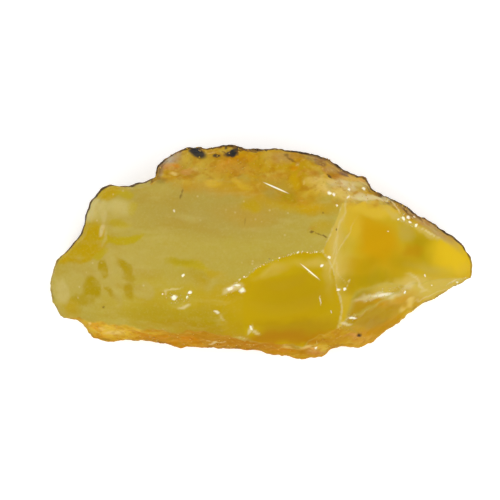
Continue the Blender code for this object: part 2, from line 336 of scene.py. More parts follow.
@dataclass
class StoneSurface:
    """The whole surface, as the outermost of its faces, its wall and its bites at each point.

    The faces in melt run into each other in a soft ridge, and melting is how soft, in millimetres.
    Points are moved onto the surface in a few rounds, by a stride at most in each.
    """

    fractures: Sequence[Fracture] = field(default_factory=lambda: FRACTURES)
    bites: Sequence[Bite] = field(default_factory=lambda: BITES)
    wall: Wall = field(default_factory=Wall)
    melt: tuple[str, ...] = ("main", "front_roll", "blunt_back", "blunt_front")
    melting: float = 0.3
    rounds: int = 9
    stride: float = 0.3

    def overhead(self, point: Array) -> float:
        """How far one point stands out of the faces, without their lumps."""
        return max(face.excess(point, np.zeros(1))[0] for face in self.fractures)

    def bite_centres(self) -> list[Array]:
        """The centre of the ball that makes each bite, found by sinking a point onto the faces."""
        clearance, steps, probe = 1.5, 40, 0.01
        centres = []
        for bite in self.bites:
            point = np.array([[bite.x, bite.y, HEIGHT + clearance]])
            for _ in range(steps):
                point[0, 2] -= self.overhead(point)
            slopes = [self.overhead(point + axis * probe) - self.overhead(point) for axis in np.eye(3)]
            out = np.array(slopes) / np.linalg.norm(slopes)
            centres.append(point[0] + out * (bite.radius - bite.depth))
        return centres

    def settle(self, points: Array, lumps: Array) -> tuple[Array, Array]:
        """Moves points that are near the surface onto it.

        Args:
            points: Points in millimetres.
            lumps: The coarse lumpiness at each point.

        Returns:
            The moved points, and each source's excess there: the fractures, the wall, the melted faces,
            then the bites.
        """
        moved = points.copy()
        centres = self.bite_centres()
        for _ in range(self.rounds):
            values, ways = self.excesses(moved, lumps, centres)
            over = np.clip(values.max(axis=0), -self.stride, self.stride)
            moved -= over[:, None] * ways[values.argmax(axis=0), np.arange(len(moved))]
        return moved, self.excesses(moved, lumps, centres)[0]

    def excesses(self, points: Array, lumps: Array, centres: list[Array]) -> tuple[Array, Array]:
        """Every source's excess and outward direction at every point.

        Args:
            points: Points in millimetres.
            lumps: The coarse lumpiness at each point.
            centres: The bites' centres.

        Returns:
            The excesses, one row a source, and the directions in the same order.
        """
        outs = np.array([face.axes()[2] for face in self.fractures])
        values = [face.excess(points, lumps) for face in self.fractures]
        ways = [np.broadcast_to(out, points.shape) for out in outs]
        wall_value, wall_way = self.wall.excess(points, lumps)
        melted = self.rows(*self.melt)
        near = np.array(values)[melted]
        shares = np.exp((near - near.max(axis=0)) / self.melting)
        melted_way = np.einsum("fn,fk->nk", shares, outs[melted])
        values += [wall_value, near.max(axis=0) + self.melting * np.log(shares.sum(axis=0))]
        ways += [wall_way, melted_way / np.linalg.norm(melted_way, axis=1)[:, None]]
        for bite, centre in zip(self.bites, centres):
            offset = points - centre
            distance = np.linalg.norm(offset, axis=1)
            values.append(bite.radius - distance)
            ways.append(-offset / distance[:, None])
        return np.array(values), np.array(ways)

    def rows(self, *names: str) -> list[int]:
        """The rows of the named fractures among the excesses."""
        return [i for i, face in enumerate(self.fractures) if face.name in names]


def margin(values: Array, rows: Sequence[int]) -> Array:
    """How clearly the sources in some rows win over all the others, in millimetres."""
    others = [i for i in range(len(values)) if i not in set(rows)]
    return values[list(rows)].max(axis=0) - values[others].max(axis=0)


def border(values: Array, first: Sequence[int], second: Sequence[int]) -> Array:
    """How far points are from the ridge between two groups of rows, in millimetres."""
    pair = np.minimum(values[list(first)].max(axis=0), values[list(second)].max(axis=0))
    return values.max(axis=0) - pair


@dataclass(frozen=True)
class Area:
    """A rounded area of the stone, by its centre, half-sizes and angle in plan, in millimetres."""

    x: float
    y: float
    long: float
    short: float
    turn: float

    def shares(self, points: Array) -> tuple[Array, Array]:
        """Where points lie in the area's own axes, each as a share of its half-size.

        Args:
            points: Points in millimetres.

        Returns:
            The shares along the area and across it.
        """
        angle = math.radians(self.turn)
        x, y = points[:, 0] - self.x, points[:, 1] - self.y
        u = (x * math.cos(angle) + y * math.sin(angle)) / self.long
        v = (y * math.cos(angle) - x * math.sin(angle)) / self.short
        return u, v


@dataclass(frozen=True)
class Relief(Area):
    """A patch of fine relief on the surface, such as a crushed spot or a fan of hackles.

    run is the angle of its ridges, or None for grains, and grain is their size.
    """

    depth: float
    grain: float
    run: float | None = None

    def mask(self, points: Array) -> Array:
        """How much of the relief each point has, from 0 to 1."""
        full, gone, lowest = 0.55, 1.15, 2.5
        return smooth_step(np.hypot(*self.shares(points)), gone, full) * (points[:, 2] > lowest)

    def offset(self, points: Array) -> Array:
        """How far the relief moves each point outwards.

        Args:
            points: Points in millimetres.

        Returns:
            Millimetres, mostly inwards.
        """
        wander, wander_grain, inwards = 0.35, 1.6, 0.5
        mask = self.mask(points)
        near = mask > 0
        result = np.zeros(len(points))
        if not near.any():
            return result
        sample = points[near]
        if self.run is None:
            pattern = lumps_at(sample, self.grain, 2)
        else:
            run = math.radians(self.run)
            across = sample[:, 1] * math.cos(run) - sample[:, 0] * math.sin(run)
            across = across + wander * lumps_at(sample, wander_grain, 1)
            pattern = np.abs(np.sin(math.pi * across / self.grain)) * 2 - 1
        result[near] = self.depth * mask[near] * (pattern - inwards)
        return result


# The crushed spots: at the hollow's foot, at the eye, on the rim, at the ledge's foot and at the tip.
CRUSHED = [
    Relief(-3.1, -4.4, 1.35, 0.95, 25, 0.10, 0.35),
    Relief(-10.0, -5.4, 1.5, 1.1, 0, 0.05, 0.5),
    Relief(17.4, 3.8, 1.2, 0.8, -30, 0.09, 0.4),
    Relief(10.9, -7.8, 1.2, 0.5, 5, 0.07, 0.35),
    Relief(23.4, -3.8, 1.6, 0.6, 20, 0.06, 0.5),
]
LEDGE_FAN = Relief(14.4, -5.0, 3.0, 0.75, 14, 0.05, 0.36, run=100)
# Two fans along the crest and a rough patch low in front have no splinters on them.
RELIEFS = [
    *CRUSHED,
    LEDGE_FAN,
    Relief(9.1, 1.6, 2.9, 1.2, 78, 0.035, 0.42, run=75),
    Relief(9.4, -4.6, 2.6, 0.9, 105, 0.035, 0.40, run=105),
    Relief(-1.2, -9.2, 1.6, 0.8, 10, 0.06, 0.4),
]


@dataclass(frozen=True)
class CrustAndEdgeShade:
    """The dark line on the stone's outline, and lower down where the stone hangs over.

    turns is how finely the outline is read, and blur over how many of them it is smoothed each way.
    start and rise set the line's reach at the waist and below it, ragged how unevenly it ends, and
    bare how far it draws back on the front. The line is partly a dark crust and partly painted shade
    at the stone's edge and under the overhang.
    """

    turns: int = 900
    blur: int = 8
    start: float = -0.1
    rise: float = 0.13
    ragged: float = 0.3
    grain: float = 2.0
    bare: float = 2.0

    def inset(self, points: Array, waist: float, under: Array, shaded: Array) -> Array:
        """How far points lie inside the stone's outline, seen from above.

        Args:
            points: Points in millimetres.
            waist: The height of the widest slice.
            under: Each point's margin on the faces that hang over.
            shaded: 1 on the back, where the outline's painted shade is full, and 0 on the front.

        Returns:
            Millimetres, and below the waist a ragged value that rises with the depth.
        """
        turns = self.turns
        angle = np.arctan2(points[:, 1], points[:, 0]) % math.tau
        distance = np.hypot(points[:, 0], points[:, 1])
        reach = np.zeros(turns)
        np.maximum.at(reach, (angle / math.tau * turns).astype(int) % turns, distance)
        reach = np.maximum(reach, (np.roll(reach, 1) + np.roll(reach, -1)) / 2)
        smooth = np.mean([np.roll(reach, shift) for shift in range(-self.blur, self.blur + 1)], axis=0)
        slope = (np.roll(smooth, -1) - np.roll(smooth, 1)) * turns / (2 * math.tau)
        centres = (np.arange(turns) + 0.5) * math.tau / turns
        lean = smooth / np.hypot(smooth, slope)
        inside = np.interp(angle, centres, reach, period=math.tau) - distance
        inside = inside * np.interp(angle, centres, lean, period=math.tau)
        depth = waist - points[:, 2]
        belt = self.start + self.rise * depth + self.ragged * lumps_at(points, self.grain, 3)
        return np.where((depth > 0) | (under > 0), belt + self.bare * (1 - shaded), inside)


@dataclass(frozen=True)
class Places:
    """Where marks begin and end on the stone, in millimetres along the axis that a name ends in.

    Each pair runs from where a mark is gone to where it is full. blunt_end and pointed_end are the x and
    y of the corners beyond which the opal has no skin. crown_x is where the top of the right face begins.
    """

    # The first pair runs to the back, where the outline gets its full painted shade.
    shaded_y: Pair = (-2.5, 0.5)
    faded_x: Pair = (0.6, -2.4)
    faded_y: Pair = (-4.0, -5.4)
    browned_x: tuple[Pair, Pair] = ((-15.0, -12.0), (4.0, 1.0))
    grainy_rind: Pair = (0.1, 0.6)
    grainy_z: Pair = (5.6, 6.4)
    arc_gone_y: Pair = (-4.2, -5.0)
    beaded_ridge: Pair = (0.12, 0.03)
    beaded_y: Pair = (-4.6, -4.0)
    relief_rind: Pair = (-0.1, 0.25)
    relief_z: Pair = (0.15, 0.6)
    blunt_end: Pair = (-13.2, -7.7)
    pointed_end: Pair = (14.6, -0.6)
    crown_x: float = 9.0


@dataclass
class StoneMesh:
    """The stone's fine mesh, and what is known at each of its points.

    voxel is the mesh's own grain, and lump the grain of the coarse lumps. Then come the height and grain
    of the grit on the skin and of the waves on the glass, the depth and grain of the nicks along the
    edges, and how far in those reach. A face that is tilted past overhang looks down.
    """

    surface: StoneSurface = field(default_factory=StoneSurface)
    crust_and_edge_shade: CrustAndEdgeShade = field(default_factory=CrustAndEdgeShade)
    places: Places = field(default_factory=Places)
    overhang: float = 95.0
    voxel: float = 0.205
    lump: float = 2.4
    grit: float = 0.11
    grit_grain: float = 0.95
    waviness: float = 0.012
    wave_grain: float = 2.2
    chip: float = 0.16
    chip_grain: float = 0.75
    edge_width: float = 0.42

    def coarse(self, node: Object) -> Mesh:
        """Remeshes a copy of the solid into an even, fine grid.

        Args:
            node: The CAD node, which is left alone.

        Returns:
            The new mesh, in metres.
        """
        weld = 1e-7
        shape = bmesh.new()
        shape.from_mesh(node.data)
        shape.transform(node.matrix_world)
        bmesh.ops.remove_doubles(shape, verts=shape.verts, dist=weld)
        mesh = bpy.data.meshes.new("opal_grid")
        shape.to_mesh(mesh)
        shape.free()
        holder = placed("opal_grid", mesh)
        remesh = holder.modifiers.new("grid", "REMESH")
        remesh.mode = "VOXEL"
        remesh.voxel_size = self.voxel * MM
        result = settled(holder)
        bpy.data.meshes.remove(mesh)
        return result

    def build(self, node: Object) -> Object:
        """Builds the fine stone.

        Args:
            node: The CAD node that it stands for.

        Returns:
            The new object, at the origin, with its attributes stored.
        """
        mesh = self.coarse(node)
        start = rows_from(mesh, "co") / MM
        points, values = self.surface.settle(start, lumps_at(start, self.lump, 3))
        marks = self.marks(points, values)
        self.store(mesh, points)
        offset = self.relief(points, marks)[:, None] * rows_from(mesh, "normal")
        self.store(mesh, np.clip(points + offset, points.min(axis=0), points.max(axis=0)))
        for name, mark in marks.items():
            store_mark(mesh, name, mark)
        mesh.shade_smooth()
        return placed("opal", mesh)

    def store(self, mesh: Mesh, points: Array) -> None:
        """Puts points, in millimetres, into the mesh."""
        mesh.vertices.foreach_set("co", (points * MM).astype(np.float32).ravel())
        mesh.update()

    def marks(self, points: Array, values: Array) -> dict[str, Array]:
        """What the material and the grains need to know at each point.

        Args:
            points: Points in millimetres.
            values: Every source's excess at each point.

        Returns:
            Named masks and margins.
        """
        surface, places = self.surface, self.places
        x, y, z = points.T
        back_slope, most_faded = 0.3, 0.97
        wall = [len(surface.fractures)]
        faces = values[: wall[0] + 1]
        melted, scoop, right = surface.rows(*surface.melt), surface.rows("scoop"), surface.rows("right")
        sharp = np.sort(np.delete(values[: wall[0] + 2], melted, axis=0), axis=0)
        side = margin(faces, wall + surface.rows("rim"))
        under = margin(faces, [i for i, face in enumerate(surface.fractures) if face.tilt > self.overhang])
        shaded = smooth_step(y, *places.shaded_y)
        browned = smooth_step(x, *places.browned_x[0]) * smooth_step(x, *places.browned_x[1])
        hollowed = margin(faces, scoop)
        faded = smooth_step(x, *places.faded_x) * smooth_step(y, *places.faded_y)
        rind = self.rind(points, faces, wall)
        return {
            "gap": sharp[-1] - sharp[-2],
            "rind": rind,
            "wall": side,
            "back_wall": np.minimum(side, back_slope * y),
            "scoop": np.where(hollowed > 0, hollowed * (1 - most_faded * faded), hollowed),
            "right": margin(faces, right),
            "right_top": np.minimum(margin(faces, right + wall), x - places.crown_x),
            "ledge": margin(faces, surface.rows("under_right")),
            "tip": margin(faces, surface.rows("tip_ledge")),
            "hollow": margin(faces, surface.rows("back_hollow")),
            "grainy": smooth_step(rind, *places.grainy_rind) * smooth_step(z, *places.grainy_z),
            "beaded": self.beaded(points, border(faces, scoop, melted)),
            "arc": border(faces, scoop, melted) + smooth_step(y, *places.arc_gone_y),
            # The rim mark holds the dark outline line, partly crust and partly painted shade.
            "rim": self.crust_and_edge_shade.inset(points, surface.wall.waist, under, shaded),
            "shaded": shaded,
            "browned": (1 - shaded) * browned,
            "crest": border(faces, scoop + melted, surface.rows("right", "under_right")),
            "lip": border(faces, right, surface.rows("under_right", "tip_ledge")),
            "under": under,
        }

    def rind(self, points: Array, faces: Array, wall: Sequence[int]) -> Array:
        """How far inside the skin of host rock points lie.

        Args:
            points: Points in millimetres.
            faces: Every face's excess at each point.
            wall: The row of the wall.

        Returns:
            Millimetres, negative on clean opal. The blunt end and the front of the pointed end are bare,
            and the skin in front ends more sharply.
        """
        bare_slope, front_slope = 3.0, 2.5
        x, y = points[:, 0], points[:, 1]
        (blunt_x, blunt_y), (pointed_x, pointed_y) = self.places.blunt_end, self.places.pointed_end
        bare = np.maximum(np.minimum(blunt_x - x, y - blunt_y), np.minimum(x - pointed_x, pointed_y - y))
        skins = [i for i, face in enumerate(self.surface.fractures) if face.skin is Skin.RIND]
        rind = np.minimum(margin(faces, skins + list(wall)), -bare_slope * bare)
        return rind * np.where(y < 0, front_slope, 1.0)

    def beaded(self, points: Array, ridge: Array) -> Array:
        """Where splinters line the upper rim of the scoop, the crushed spots and the ledge.

        Args:
            points: Points in millimetres.
            ridge: How near each point is to the rim of the scoop.

        Returns:
            From 0 to 1.
        """
        crushed_share, ledge_share = 0.35, 0.3
        arc = smooth_step(ridge, *self.places.beaded_ridge) * smooth_step(points[:, 1], *self.places.beaded_y)
        crushed = np.max([relief.mask(points) for relief in CRUSHED], axis=0) * crushed_share
        return np.max([arc, crushed, LEDGE_FAN.mask(points) * ledge_share], axis=0)

    def relief(self, points: Array, marks: dict[str, Array]) -> Array:
        """The fine relief at each point.

        Args:
            points: Points in millimetres.
            marks: The masks at those points.

        Returns:
            How far each point moves outwards, in millimetres.
        """
        grit_sunk, nick_spread = 0.25, 0.12
        rind = smooth_step(marks["rind"], *self.places.relief_rind)
        grit = self.grit * (lumps_at(points, self.grit_grain, 3) - grit_sunk) * rind
        waves = self.waviness * lumps_at(points, self.wave_grain, 1) * (1 - rind)
        edge = smooth_step(marks["gap"], self.edge_width, 0.0)
        chips = -self.chip * edge * np.clip(lumps_at(points, self.chip_grain, 2) + nick_spread, 0.0, 1.0)
        reliefs = sum(relief.offset(points) for relief in RELIEFS)
        return (grit + waves + chips + reliefs) * smooth_step(points[:, 2], *self.places.relief_z)


# ---------------------------------------------------------------------------------------------------
# Shader maths
# ---------------------------------------------------------------------------------------------------


class Tree:
    """Fills a node tree, one node at a time."""

    def __init__(self, tree: bpy.types.NodeTree) -> None:
        """Takes the tree to fill."""
        self.tree = tree

    def node(self, kind: str, settings: dict[str, object], inputs: dict[str | int, object]) -> bpy.types.Node:
        """Adds a node.

        Args:
            kind: The node's type.
            settings: Its own settings, which are set first.
            inputs: The number, colour, vector or link of each of its sockets.

        Returns:
            The node.
        """
        made = self.tree.nodes.new(kind)
        for name, setting in settings.items():
            setattr(made, name, setting)
        for key, given in inputs.items():
            self.feed(made.inputs[key], given)
        return made

    def feed(self, socket: Socket, given: object) -> None:
        """Links or sets a socket.

        Args:
            socket: The input.
            given: A Value, a socket, a number, a vector or a colour.
        """
        if isinstance(given, Value):
            self.tree.links.new(given.socket, socket)
        elif isinstance(given, Socket):
            self.tree.links.new(given, socket)
        elif socket.type == "RGBA" and len(given) == 3:
            socket.default_value = (*given, 1.0)
        else:
            socket.default_value = given

    def vector(self, operation: str, *given: object) -> Socket:
        """The vector result of one Vector Math node."""
        made = self.node("ShaderNodeVectorMath", {"operation": operation}, dict(enumerate(given)))
        return made.outputs["Vector"]


class Value:
    """A number that varies over a surface. Arithmetic on it adds Math nodes."""

    def __init__(self, tree: Tree, socket: Socket) -> None:
        """Wraps a socket of a tree."""
        self.tree = tree
        self.socket = socket

    def joined(self, operation: str, first: "Value | float", second: "Value | float") -> "Value":
        """The result of one Math node."""
        made = self.tree.node("ShaderNodeMath", {"operation": operation}, {0: first, 1: second})
        return Value(self.tree, made.outputs[0])

    def __add__(self, other: "Value | float") -> "Value":
        """The sum."""
        return self.joined("ADD", self, other)

    def __radd__(self, other: float) -> "Value":
        """The sum, with the number first."""
        return self.joined("ADD", other, self)

    def __sub__(self, other: "Value | float") -> "Value":
        """The difference."""
        return self.joined("SUBTRACT", self, other)

    def __rsub__(self, other: float) -> "Value":
        """The difference, with the number first."""
        return self.joined("SUBTRACT", other, self)

    def __mul__(self, other: "Value | float") -> "Value":
        """The product."""
        return self.joined("MULTIPLY", self, other)

    def __rmul__(self, other: float) -> "Value":
        """The product, with the number first."""
        return self.joined("MULTIPLY", other, self)

    def at_least(self, other: "Value | float") -> "Value":
        """The larger of this and another."""
        return self.joined("MAXIMUM", self, other)

    def step(self, low: float, high: float) -> "Value":
        """Eases from 0 where this is low to 1 where it is high.

        Args:
            low: Where the step starts.
            high: Where it ends. It may be below low, for a falling step.

        Returns:
            The eased value.
        """
        made = self.tree.node(
            "ShaderNodeMapRange",
            {"interpolation_type": "SMOOTHSTEP", "clamp": False},
            {"Value": self, "From Min": min(low, high), "From Max": max(low, high)},
        )
        eased = Value(self.tree, made.outputs["Result"])
        return 1 - eased if high < low else eased


class Shader(Tree):
    """Builds one material's node tree."""

    def __init__(self, name: str) -> None:
        """Starts a material with a Principled shader.

        Args:
            name: The material's name.
        """
        self.material = bpy.data.materials.new(name)
        self.material.use_nodes = True
        super().__init__(self.material.node_tree)
        self.surface = self.tree.nodes["Principled BSDF"]

    def dress(self, finish: dict[str, object]) -> bpy.types.Material:
        """Feeds the Principled shader.

        Args:
            finish: What each of its named sockets gets.

        Returns:
            The material.
        """
        for name, given in finish.items():
            self.feed(self.surface.inputs[name], given)
        return self.material

    @cached_property
    def place(self) -> Socket:
        """The point on the piece, in millimetres."""
        coordinates = self.node("ShaderNodeTexCoord", {}, {})
        return self.vector("MULTIPLY", coordinates.outputs["Object"], (1 / MM, 1 / MM, 1 / MM))

    def mark(self, name: str) -> Value:
        """A number that the mesh stores at each point."""
        return Value(self, self.node("ShaderNodeAttribute", {"attribute_name": name}, {}).outputs["Fac"])

    def tint(self, name: str) -> Socket:
        """A colour that the mesh stores at each point."""
        return self.node("ShaderNodeAttribute", {"attribute_name": name}, {}).outputs["Color"]

    def cloud(self, grain: float, detail: float = 3.0, place: Socket | None = None) -> Value:
        """Noise from 0 to 1, with lumps of one size in millimetres and finer layers on them."""
        inputs = {"Vector": place or self.place, "Scale": 1 / grain, "Detail": detail}
        return Value(self, self.node("ShaderNodeTexNoise", {}, inputs).outputs["Fac"])

    def cells(self, grain: float) -> Value:
        """The distance to the nearest of many scattered points, as a share of their spacing."""
        made = self.node("ShaderNodeTexVoronoi", {}, {"Vector": self.place, "Scale": 1 / grain})
        return Value(self, made.outputs["Distance"])

    def warped(self, *wobbles: Pair) -> Socket:
        """The place pushed about by noise, so that a pattern on it has a natural edge.

        Args:
            wobbles: The size of each wobble and how far it pushes, in millimetres.

        Returns:
            The new place.
        """
        place = self.place
        for grain, amount in wobbles:
            made = self.node("ShaderNodeTexNoise", {}, {"Vector": place, "Scale": 1 / grain, "Detail": 2.0})
            centred = self.vector("SUBTRACT", made.outputs["Color"], (0.5, 0.5, 0.5))
            push = self.vector("MULTIPLY", centred, (2 * amount, 2 * amount, 2 * amount))
            place = self.vector("ADD", place, push)
        return place

    def mix(self, share: Value | float, below: object, above: object) -> Socket:
        """Lays one colour over another. Sockets 6, 7 and 2 are the node's colours."""
        made = self.node("ShaderNodeMix", {"data_type": "RGBA"}, {0: share, 6: below, 7: above})
        return made.outputs[2]


class Tone(Enum):
    """The colours in the stone, as they look in studio light with the gloss on them."""

    # The veil tones of the main face are partly milky opal, partly a painted sheen of the soft light above.
    MILK_AND_SHEEN = (184, 164, 73)
    MILK_AND_SHEEN_BACK = (178, 155, 76)
    MILK_AND_SHEEN_FRONT = (187, 163, 48)
    MILK = (189, 168, 86)
    PALE_MILK = (205, 188, 116)
    # Pale crushed opal, which is also laid on as painted highlights and glare.
    PEARL_AND_GLARE = (222, 206, 150)
    GLINT = (252, 248, 222)
    HONEY = (189, 157, 22)
    DEEP = (182, 150, 6)
    SCOOP_PALE = (193, 165, 32)
    OLIVE = (175, 148, 27)
    MOSS = (170, 148, 24)
    SHADE = (174, 138, 22)
    KHAKI = (172, 146, 62)
    SUN = (223, 188, 50)
    ORANGE = (201, 156, 2)
    TANGERINE = (206, 146, 4)
    AMBER = (192, 153, 38)
    AMBER_DARK = (186, 140, 26)
    GOLD = (214, 180, 64)
    PALE_GOLD = (206, 180, 92)
    OCHRE = (194, 146, 42)
    CLAY = (200, 150, 62)
    FLAME = (208, 136, 34)
    SKIN = (188, 144, 42)
    OLIVE_SKIN = (184, 154, 62)
    YELLOW_SKIN = (202, 172, 72)
    BRIGHT_SKIN = (218, 180, 64)
    SUN_SKIN = (200, 160, 26)
    # A cream tone for pale mineral, also laid on as painted highlights on the glossy skin.
    CREAM_AND_HIGHLIGHT = (226, 196, 112)
    LILAC = (178, 148, 104)
    CORAL = (206, 146, 86)
    PLUM = (124, 90, 74)
    BARK = (112, 82, 48)
    RUSTY = (174, 118, 24)
    RUST = (186, 118, 50)
    SOOT = (58, 58, 58)
    # The darkest tone of the outline's line, partly crust and partly painted shade.
    SLATE_SHADE = (62, 52, 44)
    UMBER = (170, 130, 26)
    TREACLE = (172, 116, 4)
    FIRE = (202, 142, 2)
    ASH = (178, 170, 156)
    LIME = (186, 163, 38)
    GOLDEN = (198, 167, 50)
    # A dusky tone along the top outline, partly the skin's colour and partly painted shade at the edge.
    DUSK_AND_EDGE_SHADE = (138, 114, 88)

    @property
    def linear(self) -> Colour:
        """The colour under the usual gloss, as a shader works in it."""
        return self.under(USUAL_GLOSS)

    def under(self, gloss: float) -> Colour:
        """The colour under a given gloss, as a shader works in it."""
        darkest = 0.002
        return tuple(max(part - gloss, darkest) for part in linear(*self.value))


# The light that the gloss adds to a level face.
USUAL_GLOSS = 0.015
# The height that patches are centred on, how far down they reach there, and how far down spots reach.
PATCH_LEVEL = 11.0
PATCH_DEPTH = 13.0
SPOT_DEPTH = 7.0


@dataclass(frozen=True)
class Patch(Area):
    """An area of one tone. soft is how wide its edge is, as a share of its size."""

    soft: float
    strength: float = 1.0

    def cover(self, points: Array) -> Array:
        """How strongly the patch shows at points.

        Args:
            points: Points in millimetres.

        Returns:
            From 0 to strength.
        """
        u, v = self.shares(points)
        w = (points[:, 2] - PATCH_LEVEL) / PATCH_DEPTH
        return self.strength * smooth_step(np.sqrt(u * u + v * v + w * w), 1 + self.soft, 1 - self.soft)

    def mask(self, shader: Shader, place: Socket) -> Value:
        """How strongly the patch shows in a material.

        Args:
            shader: The shader.
            place: The place in millimetres.

        Returns:
            From 0 to strength.
        """
        turned = shader.node(
            "ShaderNodeMapping",
            {"vector_type": "TEXTURE"},
            {
                "Vector": place,
                "Location": (self.x, self.y, PATCH_LEVEL),
                "Rotation": (0.0, 0.0, math.radians(self.turn)),
                "Scale": (self.long, self.short, SPOT_DEPTH),
            },
        )
        length = shader.node("ShaderNodeVectorMath", {"operation": "LENGTH"}, {0: turned.outputs["Vector"]})
        reach = {"From Min": 1 - self.soft, "From Max": 1 + self.soft, "To Min": self.strength, "To Max": 0.0}
        faded = shader.node(
            "ShaderNodeMapRange",
            {"interpolation_type": "SMOOTHSTEP", "clamp": False},
            {"Value": length.outputs["Value"], **reach},
        )
        return Value(shader, faded.outputs["Result"])


def toned(*rows: tuple[Tone | tuple[float, ...], ...]) -> list[tuple[Tone, Patch]]:
    """Patches with their tones, from rows of a tone and the numbers of one patch or more."""
    return [(tone, Patch(*numbers)) for tone, *patches in rows for numbers in patches]


